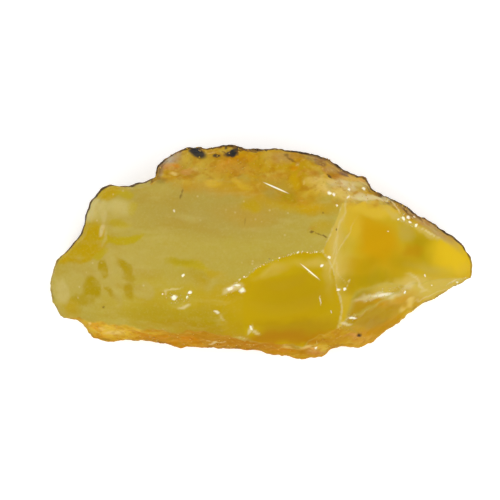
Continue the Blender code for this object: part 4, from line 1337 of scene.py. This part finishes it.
SPOT_PATCHES = toned(
    (Tone.BARK, (-9.54, 6.6, 0.19, 0.26, 0, 0.6, 0.6), (-9.36, 7.2, 0.11, 0.29, -15, 0.6, 0.55),
     (-1.98, 3.6, 0.1, 0.48, -12, 0.6, 0.3), (7.26, 4.68, 0.12, 0.1, 0, 0.6, 0.6),
     (0.9, -0.84, 0.12, 0.14, 0, 0.6, 0.5), (-18.78, -6.48, 0.13, 0.13, 0, 0.6, 0.6),
     (5.94, 2.4, 0.31, 0.16, 10, 0.4, 0.8), (6.78, 2.16, 0.6, 0.11, -28, 0.5, 0.6),
     (7.5, 1.8, 0.36, 0.13, -38, 0.4, 0.8), (8.82, 2.64, 0.11, 0.16, 20, 0.5, 0.8),
     (-11.94, 8.52, 0.6, 0.3, 10, 0.7, 0.3)),
    (Tone.SOOT, (-7.6, 11.8, 1.05, 0.56, -24, 0.35, 0.95), (-8.0, 12.1, 0.75, 0.4, 0, 0.4, 0.9),
     (-5.34, 11.45, 0.48, 0.23, -8, 0.35, 0.85), (-3.6, 11.7, 0.8, 0.36, 8, 0.4, 0.95),
     (-3.2, 12, 0.6, 0.36, 35, 0.4, 0.9), (-4.2, 12.3, 0.19, 0.17, 0, 0.4, 0.8)),
    (Tone.BARK, (-2.46, 12.12, 0.66, 0.12, 12, 0.4, 0.8), (-3.3, 12.38, 0.36, 0.1, 0, 0.4, 0.8),
     (-4.5, 11.82, 0.36, 0.11, -30, 0.5, 0.7), (2.94, 11.52, 0.31, 0.16, -20, 0.6, 0.6),
     (3.54, 10.98, 0.6, 0.14, -32, 0.6, 0.6), (8.04, 9, 0.43, 0.12, -40, 0.35),
     (17.1, 4.92, 0.46, 0.16, -48, 0.4, 0.9)),
    (Tone.SOOT, (11.7, -9.96, 0.31, 0.22, 15, 0.35, 0.9)),
    # Painted glints: small white spots where light catches the eye, chips, ridges and the rim, and the glare
    # on the ledge.
    (Tone.GLINT, (-10.38, 4.92, 0.1, 0.13, 0, 0.5, 0.6), (1.7, 7.6, 1.5, 0.09, -24, 0.3),
     (12.18, 7.49, 0.19, 0.16, 20, 0.4, 0.9), (7.98, 6.9, 0.19, 0.22, 0, 0.4),
     (8.46, 6.84, 0.18, 0.24, 0, 0.4, 0.9), (8.88, 5.58, 0.11, 0.16, 0, 0.4),
     (10.32, 7.44, 0.11, 0.16, 0, 0.5, 0.9), (10.26, 6.48, 0.24, 0.11, 55, 0.5, 0.8),
     (6.54, -11.52, 0.26, 0.24, 0, 0.35), (-3.66, -4.32, 0.41, 0.19, 20, 0.4, 0.9),
     (-2.94, -3.9, 0.41, 0.13, 15, 0.4, 0.9), (-2.34, -4.56, 0.36, 0.31, -20, 0.4, 0.9),
     (-10.38, -5.4, 0.38, 0.22, 15, 0.4, 0.95), (-8.46, -4.8, 0.23, 0.18, 10, 0.3),
     (-8.82, -5.4, 0.14, 0.16, 0, 0.3), (-11.76, -5.04, 0.11, 0.12, 0, 0.4, 0.8),
     (-9.3, -2.76, 0.2, 0.11, 40, 0.4, 0.9), (-5.34, -7.08, 0.26, 0.14, -20, 0.5, 0.6),
     (-1.26, -9, 0.14, 0.29, 30, 0.4, 0.8), (7.98, -0.66, 0.18, 0.29, 25, 0.35),
     (7.08, -1.62, 0.22, 0.17, -10, 0.35), (5.7, -2.3, 1.38, 0.08, -40, 0.3, 0.95),
     (9.06, -4.44, 0.22, 0.14, 20, 0.35), (9.84, -4.44, 0.18, 0.14, -10, 0.35),
     (10.86, -7.86, 0.48, 0.16, -5, 0.4, 0.9), (14.5, -5.1, 1.08, 0.18, 9, 0.5, 0.6),
     (17.1, -4.8, 0.12, 0.19, 0, 0.35), (19.5, -2.82, 0.12, 0.14, 0, 0.4, 0.8),
     (20.34, -3.96, 0.11, 0.11, 0, 0.4, 0.8), (23.4, -3.6, 0.14, 0.12, 0, 0.4, 0.9),
     (16.86, 3.96, 0.19, 0.17, 0, 0.35), (17.46, 4.14, 0.18, 0.24, 10, 0.35),
     (17.7, 3.54, 0.23, 0.14, -20, 0.35), (18.42, 3.12, 0.14, 0.18, 0, 0.4, 0.9),
     (16.26, 3.9, 0.12, 0.1, 0, 0.4, 0.8), (18.24, 4.2, 0.11, 0.1, 0, 0.4, 0.7),
     (15.06, 2.52, 0.11, 0.1, 0, 0.4, 0.8), (7.02, -5.76, 0.06, 0.48, 8, 0.5, 0.5),
     (8.34, -7.08, 0.07, 0.17, 0, 0.4, 0.7)),
)  # fmt: skip


@dataclass(frozen=True)
class Tints:
    """The cloudy shades of each part of the stone, worked out at its points.

    wobbles are the grains and strengths that push the patches' edges about, in millimetres, and shifts
    are how far apart the noise of each direction is read. Steeper faces have more gloss on their tones.
    """

    wobbles: tuple[Pair, ...] = ((2.4, 0.3), (0.8, 0.12))
    shifts: Corner = (0.0, 17.0, 41.0)
    slope_gloss: float = 0.019
    steep_gloss: float = 0.05

    def layers(self) -> dict[str, tuple[Tone, Sequence[tuple[Tone, Patch]], float]]:
        """Each layer's ground tone and patches, and how much gloss its steepness adds."""
        return {
            "tint_body": (Tone.MILK_AND_SHEEN, BODY_PATCHES, USUAL_GLOSS),
            "tint_scoop": (Tone.HONEY, SCOOP_PATCHES, USUAL_GLOSS),
            "tint_right": (Tone.GOLDEN, RIGHT_PATCHES, self.slope_gloss),
            "tint_ledge": (Tone.PALE_GOLD, LEDGE_PATCHES, self.steep_gloss),
            "tint_skin": (Tone.SKIN, SKIN_PATCHES, USUAL_GLOSS),
        }

    def build(self, mesh: Mesh) -> None:
        """Stores every layer's colour in the mesh.

        Args:
            mesh: The stone's mesh, in metres.
        """
        points = rows_from(mesh, "co") / MM
        for grain, strength in self.wobbles:
            pushes = np.column_stack([lumps_at(points + shift, grain, 1) for shift in self.shifts])
            points = points + strength * 2 * pushes
        # The pale crushed opal, partly painted glints and glare.
        store_mark(mesh, "bruise_and_glint", np.max([patch.cover(points) for patch in BRUISE_AND_GLINT_PATCHES], axis=0))
        for name, (ground, patches, gloss) in self.layers().items():
            colours = np.tile(np.array(ground.under(gloss)), (len(points), 1))
            for tone, patch in patches:
                share = patch.cover(points)[:, None]
                colours = colours * (1 - share) + np.array(tone.under(gloss)) * share
            stored = mesh.attributes.new(name, "FLOAT_COLOR", "POINT")
            opaque = np.column_stack([colours, np.ones(len(points))])
            stored.data.foreach_set("color", opaque.astype(np.float32).ravel())


@dataclass(frozen=True)
class Mottle:
    """Soft spots of one tone, where noise of one grain passes from one level to another.

    start is the noise where a spot begins and full where it is full. full may be the lower one.
    """

    tone: Tone
    grain: float
    detail: float
    start: float
    full: float
    strength: float

    def over(self, shader: Shader, colour: Socket, place: Socket) -> Socket:
        """Lays the spots over a colour, by noise that is read at a place."""
        spots = shader.cloud(self.grain, self.detail, place).step(self.start, self.full)
        return shader.mix(spots * self.strength, colour, self.tone.linear)


# Long streaks in the milk, and fine frost.
STREAKS = (
    Mottle(Tone.PALE_MILK, 1.1, 4.0, 0.5, 0.75, 0.22),
    Mottle(Tone.SHADE, 1.9, 4.0, 0.48, 0.3, 0.22),
)
FROST = (
    Mottle(Tone.PALE_MILK, 0.28, 4.0, 0.52, 0.7, 0.12),
    Mottle(Tone.SHADE, 0.28, 4.0, 0.46, 0.32, 0.12),
)
BLOOM = Mottle(Tone.PALE_MILK, 0.9, 4.0, 0.4, 0.8, 0.08)

# Broad mottling of the skin, and its fine grain.
SKIN_MOTTLES = (
    Mottle(Tone.OCHRE, 2.2, 4.0, 0.45, 0.65, 0.2),
    Mottle(Tone.CLAY, 1.4, 3.0, 0.56, 0.7, 0.2),
    Mottle(Tone.RUSTY, 1.2, 5.0, 0.5, 0.34, 0.45),
    Mottle(Tone.YELLOW_SKIN, 1.0, 4.0, 0.56, 0.68, 0.35),
)
SKIN_GRAIN = (
    Mottle(Tone.CREAM_AND_HIGHLIGHT, 0.45, 3.0, 0.56, 0.72, 0.15),
    Mottle(Tone.RUSTY, 0.45, 3.0, 0.42, 0.3, 0.25),
)


@dataclass(frozen=True)
class OpalFinish:
    """The opal itself, from glassy honey to dull skin.

    reach is how far light spreads inside it, in metres, spread the share of that for each colour and
    glow how much of its colour comes from there. A warp is the grain and strength of each wobble that
    pushes edges about. Only a spot longer than large_spot keeps its own edge.
    """

    reach: float = 0.0008
    glow: float = 0.4
    spread: Colour = (1.0, 0.55, 0.12)
    bending: float = 1.45
    mirror: float = 0.06
    gloss: float = 0.14
    dull: float = 0.85
    streak_shape: Corner = (0.3, 1.0, 1.0)
    vein_warp: Pair = (3.0, 0.9)
    skin_warp: tuple[Pair, ...] = ((2.4, 0.3), (0.8, 0.1))
    spot_warp: tuple[Pair, ...] = ((0.9, 0.24), (0.3, 0.14))
    large_spot: float = 1.0

    def material(self) -> bpy.types.Material:
        """Builds the material."""
        shader = Shader("opal")
        colour = self.faces(shader, self.body(shader))
        ragged = (shader.cloud(2.2) - 0.5) * 1.6 + (shader.cloud(0.6) - 0.5) * 0.6
        rind = (shader.mark("rind").at_least(shader.mark("hollow")) + ragged).step(-0.55, 0.35)
        colour = self.edges(shader, shader.mix(rind, colour, self.skin(shader)), rind)
        # The pale crushed opal, partly painted glints and glare.
        colour = shader.mix(shader.mark("bruise_and_glint"), colour, Tone.PEARL_AND_GLARE.linear)
        # Dark specks and spots of the stone, then white spots that are painted glints.
        close = shader.warped(*self.spot_warp)
        for tone, patch in SPOT_PATCHES:
            at = shader.place if patch.long > self.large_spot else close
            colour = shader.mix(patch.mask(shader, at), colour, tone.linear)
        return shader.dress({"Base Color": colour, **self.shine(shader, rind)})

    def body(self, shader: Shader) -> Socket:
        """The colour inside the stone.

        Args:
            shader: The shader.

        Returns:
            The colour.
        """
        veins = shader.cloud(3.4, place=shader.warped(self.vein_warp))
        under = shader.mark("under").step(-0.1, 0.1)
        colour = shader.mix(under * veins.step(0.47, 0.58), shader.tint("tint_body"), Tone.HONEY.linear)
        colour = shader.mix(under * veins.step(0.42, 0.3) * 0.8, colour, Tone.PALE_MILK.linear)
        long = shader.vector("MULTIPLY", shader.place, self.streak_shape)
        for streak in STREAKS:
            colour = streak.over(shader, colour, long)
        for frost in FROST:
            colour = frost.over(shader, colour, shader.place)
        specks = shader.cells(1.2).step(0.16, 0.05) * shader.cloud(3.0).step(0.45, 0.6)
        colour = shader.mix(specks * 0.35, colour, Tone.PEARL_AND_GLARE.linear)
        return BLOOM.over(shader, colour, shader.place)

    def faces(self, shader: Shader, colour: Socket) -> Socket:
        """The faces that look into clearer opal.

        Args:
            shader: The shader.
            colour: The colour so far.

        Returns:
            The colour.
        """
        right = shader.mark("right").at_least(shader.mark("right_top"))
        ledge = shader.mark("ledge").at_least(shader.mark("tip"))
        colour = shader.mix(shader.mark("scoop").step(-0.06, 0.1), colour, shader.tint("tint_scoop"))
        colour = shader.mix(right.step(-0.06, 0.1), colour, shader.tint("tint_right"))
        return shader.mix(ledge.step(-0.1, 0.2), colour, shader.tint("tint_ledge"))

    def skin(self, shader: Shader) -> Socket:
        """The skin of host rock.

        Args:
            shader: The shader.

        Returns:
            The colour.
        """
        near = shader.warped(*self.skin_warp)
        colour = shader.tint("tint_skin")
        for mottle in SKIN_MOTTLES:
            colour = mottle.over(shader, colour, near)
        colour = shader.mix(shader.mark("browned") * 0.32, colour, Tone.TREACLE.linear)
        dark = shader.mark("back_wall").step(-0.1, 0.3) * shader.cloud(2.6, 4.0, near).step(0.42, 0.6)
        colour = shader.mix(dark * 0.75, colour, Tone.BARK.linear)
        for grain in SKIN_GRAIN:
            colour = grain.over(shader, colour, shader.place)
        return colour

    def edges(self, shader: Shader, colour: Socket, rind: Value) -> Socket:
        """Paler ridges between the glassy faces, bruised and with painted highlight; the dark outline line,
        partly crust and partly painted shade; and the beads, which are painted glints.

        Args:
            shader: The shader.
            colour: The colour so far.
            rind: Where the skin is.

        Returns:
            The colour.
        """
        glass, shaded = 1 - rind, shader.mark("shaded")
        fray = (shader.cloud(0.7) - 0.5) * 0.3
        # The pale crest and lip are partly bruised opal, partly a painted highlight where the ridges catch
        # the light.
        crest = (shader.mark("crest") + fray).step(0.14, -0.02) * shader.cloud(1.6).step(0.3, 0.5)
        colour = shader.mix(crest * glass * 0.5, colour, Tone.PEARL_AND_GLARE.linear)
        lip = (shader.mark("lip") + fray).step(0.1, -0.06) * shader.cloud(2.0).step(0.5, 0.6)
        colour = shader.mix(lip * glass * 0.3, colour, Tone.PEARL_AND_GLARE.linear)
        # Painted shade: a dark line along the outline seen from above, partly crust; full on the back,
        # fainter on the front.
        line = (shader.mark("rim") + (shader.cloud(0.8) - 0.5) * 0.24).step(0.33, 0.17)
        crust_and_edge_shade = shader.mix(shader.cloud(1.6, 4.0).step(0.45, 0.62), Tone.SLATE_SHADE.linear, Tone.BARK.linear)
        colour = shader.mix(line * shaded * 0.95, colour, crust_and_edge_shade)
        sunny = (1 - shaded) * shader.cloud(1.3, 4.0).step(0.3, 0.6)
        colour = shader.mix(line * sunny * 0.45, colour, Tone.BARK.linear)
        # Painted glints: a string of white dots along the upper rim of the scoop.
        glint_beads = shader.mark("arc").step(0.13, 0.03) * shader.cells(0.34).step(0.4, 0.2)
        return shader.mix(glint_beads * glass, colour, Tone.GLINT.linear)

    def shine(self, shader: Shader, rind: Value) -> dict[str, object]:
        """Gloss, glow and fine bump.

        Args:
            shader: The shader.
            rind: Where the skin is.

        Returns:
            What each of the Principled shader's sockets gets.
        """
        wall, under, ledge = (shader.mark(name) for name in ("wall", "under", "ledge"))
        matt = rind.at_least(wall.step(-0.2, 0.2) * 0.8).at_least(under.step(-0.1, 0.1))
        matt = matt.at_least(ledge.step(-0.2, 0.2) * 0.45)
        smudges = (shader.cloud(0.5) - 0.5) * 0.1
        grit = shader.cloud(0.22) * (0.02 + rind * 0.25) + shader.cloud(1.1, 1.0) * 0.05
        bump = shader.node("ShaderNodeBump", {}, {"Height": grit, "Strength": 0.35, "Distance": 0.0002})
        return {
            "Roughness": self.gloss + matt * (self.dull - self.gloss) + smudges,
            "IOR": self.bending,
            "Specular IOR Level": self.mirror,
            "Subsurface Weight": self.glow,
            "Subsurface Radius": self.spread,
            "Subsurface Scale": self.reach,
            "Normal": bump.outputs["Normal"],
        }


@dataclass(frozen=True)
class GrainFinish:
    """A translucent mineral grain. Its tones are mixed in soft patches, and frosted over."""

    name: str
    tone: Tone
    pale: Tone
    roughness: float
    frost: Mottle = Mottle(Tone.CREAM_AND_HIGHLIGHT, 0.15, 3.0, 0.45, 0.7, 0.4)
    glow: float = 0.3
    spread: Colour = (1.0, 0.6, 0.2)
    reach: float = 0.0003

    def material(self) -> bpy.types.Material:
        """Builds the material."""
        shader = Shader(self.name)
        colour = shader.mix(shader.cloud(1.5).step(0.4, 0.6), self.tone.linear, self.pale.linear)
        finish = {
            "Base Color": self.frost.over(shader, colour, shader.place),
            "Roughness": self.roughness + shader.cloud(0.1) * 0.2,
            "Subsurface Weight": self.glow,
            "Subsurface Radius": self.spread,
            "Subsurface Scale": self.reach,
        }
        return shader.dress(finish)


@dataclass(frozen=True)
class Grains:
    """Small grains or splinters, half sunk in the stone wherever a mark asks for them.

    density is in grains a square millimetre where the mark is 1, and size is their radius. Each is
    turned by up to turn, in radians, stretched to between thin and wide, and dented by a share of its
    size with noise that is dents fine, in waves a metre.
    """

    name: str
    mark: str
    density: float
    size: float
    seed: int
    finish: GrainFinish
    turn: Corner = (6.28, 6.28, 6.28)
    thin: Corner = (0.45, 0.45, 0.4)
    wide: Corner = (1.5, 1.1, 0.8)
    dent: float = 1.1
    dents: float = 7000.0

    def drawn(self, tree: Tree, low: Corner, high: Corner, seed: Socket) -> Socket:
        """A vector drawn for each grain, between two others."""
        inputs = {0: low, 1: high, "Seed": seed}
        return tree.node("FunctionNodeRandomValue", {"data_type": "FLOAT_VECTOR"}, inputs).outputs[0]

    def group(self, material: bpy.types.Material) -> bpy.types.NodeTree:
        """Builds the node tree that strews the grains.

        Args:
            material: The grains' material.

        Returns:
            The tree.
        """
        group = bpy.data.node_groups.new(self.name, "GeometryNodeTree")
        group.interface.new_socket("Stone", in_out="INPUT", socket_type="NodeSocketGeometry")
        for label, kind in (("Density", "Float"), ("Size", "Float"), ("Seed", "Int")):
            group.interface.new_socket(label, in_out="INPUT", socket_type=f"NodeSocket{kind}")
        group.interface.new_socket("Grains", in_out="OUTPUT", socket_type="NodeSocketGeometry")
        tree = Tree(group)
        given = tree.node("NodeGroupInput", {}, {}).outputs
        mark = tree.node("GeometryNodeInputNamedAttribute", {"data_type": "FLOAT"}, {"Name": self.mark})
        strewn = tree.node(
            "GeometryNodeDistributePointsOnFaces",
            {"distribute_method": "RANDOM"},
            {
                "Mesh": given["Stone"],
                "Density": Value(tree, mark.outputs[0]) * Value(tree, given["Density"]),
                "Seed": given["Seed"],
            },
        )
        ball = tree.node("GeometryNodeMeshIcoSphere", {}, {"Radius": given["Size"], "Subdivisions": 2})
        instances = tree.node(
            "GeometryNodeInstanceOnPoints",
            {},
            {
                "Points": strewn.outputs["Points"],
                "Instance": ball.outputs["Mesh"],
                "Rotation": self.drawn(tree, (0.0, 0.0, 0.0), self.turn, given["Seed"]),
                "Scale": self.drawn(tree, self.thin, self.wide, given["Seed"]),
            },
        )
        real = tree.node("GeometryNodeRealizeInstances", {}, {"Geometry": instances.outputs["Instances"]})
        place = tree.node("GeometryNodeInputPosition", {}, {}).outputs["Position"]
        rough = tree.node("ShaderNodeTexNoise", {}, {"Vector": place, "Scale": self.dents, "Detail": 1.0})
        centred = tree.vector("SUBTRACT", rough.outputs["Color"], (0.5, 0.5, 0.5))
        depth = self.size * MM * self.dent
        push = tree.vector("MULTIPLY", centred, (depth, depth, depth))
        shape = real.outputs["Geometry"]
        for kind, inputs in (
            ("GeometryNodeSetPosition", {"Offset": push}),
            ("GeometryNodeSetShadeSmooth", {"Shade Smooth": False}),
            ("GeometryNodeSetMaterial", {"Material": material}),
        ):
            shape = tree.node(kind, {}, {"Geometry": shape, **inputs}).outputs["Geometry"]
        tree.node("NodeGroupOutput", {}, {"Grains": shape})
        return group

    def build(self, stone: Object) -> Object:
        """Strews the grains over the stone.

        Args:
            stone: The finished stone, with its marks.

        Returns:
            The grains, as one plain mesh.
        """
        material = self.finish.material()
        holder = placed(self.name + "_holder", stone.data)
        modifier = holder.modifiers.new("strewn", "NODES")
        modifier.node_group = self.group(material)
        sizes = {"Density": self.density / MM**2, "Size": self.size * MM, "Seed": self.seed}
        for item in modifier.node_group.interface.items_tree:
            if item.name in sizes:
                modifier[item.identifier] = sizes[item.name]
        mesh = settled(holder)
        mesh.name = self.name
        extra = [item.name for item in mesh.attributes if not item.is_required and not item.is_internal]
        for name in extra:
            mesh.attributes.remove(mesh.attributes[name])
        mesh.materials.clear()
        mesh.materials.append(material)
        return placed(self.name, mesh)


SKIN_GRAIN_FINISH = GrainFinish("skin_grain", Tone.OCHRE, Tone.SUN_SKIN, 0.3)
SPLINTER_FINISH = GrainFinish("splinter", Tone.PALE_GOLD, Tone.PEARL_AND_GLARE, 0.08)


@dataclass
class Opal:
    """The stone."""

    node: str = "honey_opal"
    slot: str = "opal"
    mesh: StoneMesh = field(default_factory=StoneMesh)
    tints: Tints = field(default_factory=Tints)
    finish: OpalFinish = field(default_factory=OpalFinish)
    grains: Sequence[Grains] = (
        Grains("skin_grains", "grainy", 0.5, 0.11, 3, SKIN_GRAIN_FINISH),
        Grains("ridge_splinters", "beaded", 16.0, 0.075, 5, SPLINTER_FINISH),
    )

    def build(self, nodes: dict[str, Object]) -> list[Object]:
        """Builds the stone and dresses it.

        Args:
            nodes: The CAD nodes by name.

        Returns:
            The pieces.
        """
        stone = self.mesh.build(nodes[self.node])
        self.tints.build(stone.data)
        stone.data.materials.append(self.finish.material())
        pieces = [stone] + [grains.build(stone) for grains in self.grains]
        for piece in pieces:
            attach(piece, "root")
            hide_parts(self.node)
        return pieces


# ---------------------------------------------------------------------------------------------------
# Studio
# ---------------------------------------------------------------------------------------------------


@dataclass(frozen=True)
class Lamp:
    """A square studio lamp, by its direction from the stone, its distance, its size and its power."""

    name: str
    azimuth: float
    elevation: float
    distance: float
    size: float
    power: float

    def build(self) -> None:
        """Makes the lamp, aimed at the stone."""
        data = bpy.data.lights.new(self.name, "AREA")
        data.shape = "SQUARE"
        data.size = self.size
        data.energy = self.power
        azimuth, elevation = math.radians(self.azimuth), math.radians(self.elevation)
        flat = math.cos(elevation)
        way = Vector((flat * math.cos(azimuth), flat * math.sin(azimuth), math.sin(elevation)))
        lamp = placed(self.name, data)
        lamp.location = way * self.distance
        lamp.rotation_euler = way.to_track_quat("Z", "Y").to_euler()


@dataclass
class Studio:
    """A pale floor, soft lamps and a camera that looks straight down.

    view_width is what the camera sees at the height of the stone's waist, in metres.
    """

    floor_size: float = 6.0
    view_width: float = 0.0600
    view_height: float = 0.6
    waist: float = 0.005
    sensor: float = 36.0
    clip: Pair = (0.01, 50.0)
    centre: Pair = (-0.00138, 0.00024)
    sky: float = 0.57
    lamps: Sequence[Lamp] = (
        Lamp("overhead", 275, 74, 1.1, 2.0, 10.4),
        Lamp("sparkle", 62, 55, 0.7, 0.04, 0.5),
        Lamp("sparkle_front", 300, 64, 0.7, 0.03, 0.25),
    )

    def build(self) -> None:
        """Sets up everything round the stone."""
        self.floor()
        self.world()
        self.camera()
        for lamp in self.lamps:
            lamp.build()
        settings = bpy.context.scene.view_settings
        settings.view_transform = "Standard"
        settings.look = "None"

    def floor(self) -> None:
        """Makes the floor."""
        sheet = bmesh.new()
        bmesh.ops.create_grid(sheet, x_segments=1, y_segments=1, size=self.floor_size / 2)
        mesh = bpy.data.meshes.new("floor")
        sheet.to_mesh(mesh)
        sheet.free()
        finish = {
            "Base Color": (0.85, 0.85, 0.85),
            "Roughness": 0.9,
            "Specular IOR Level": 0.1,
            "Emission Color": (1.0, 1.0, 1.0),
            "Emission Strength": 0.42,
        }
        mesh.materials.append(Shader("floor").dress(finish))
        placed("floor", mesh)

    def world(self) -> None:
        """Lights the room evenly."""
        world = bpy.data.worlds.new("room")
        world.use_nodes = True
        back = world.node_tree.nodes["Background"]
        back.inputs["Color"].default_value = (1.0, 1.0, 1.0, 1.0)
        back.inputs["Strength"].default_value = self.sky
        bpy.context.scene.world = world

    def camera(self) -> None:
        """Hangs the camera over the stone."""
        data = bpy.data.cameras.new("camera")
        data.sensor_width = self.sensor
        data.lens = self.sensor * (self.view_height - self.waist) / self.view_width
        data.clip_start, data.clip_end = self.clip
        camera = placed("camera", data)
        camera.location = (*self.centre, self.view_height)
        bpy.context.scene.camera = camera


def main() -> None:
    """Builds the stone and its studio."""
    logging.basicConfig(level=logging.INFO, format="%(message)s")
    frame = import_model()
    for piece in Opal().build(frame["nodes"]):
        log.info("%s: %d faces", piece.name, len(piece.data.polygons))
    Studio().build()
    bpy.context.view_layer.update()


if __name__ == "__main__":
    main()
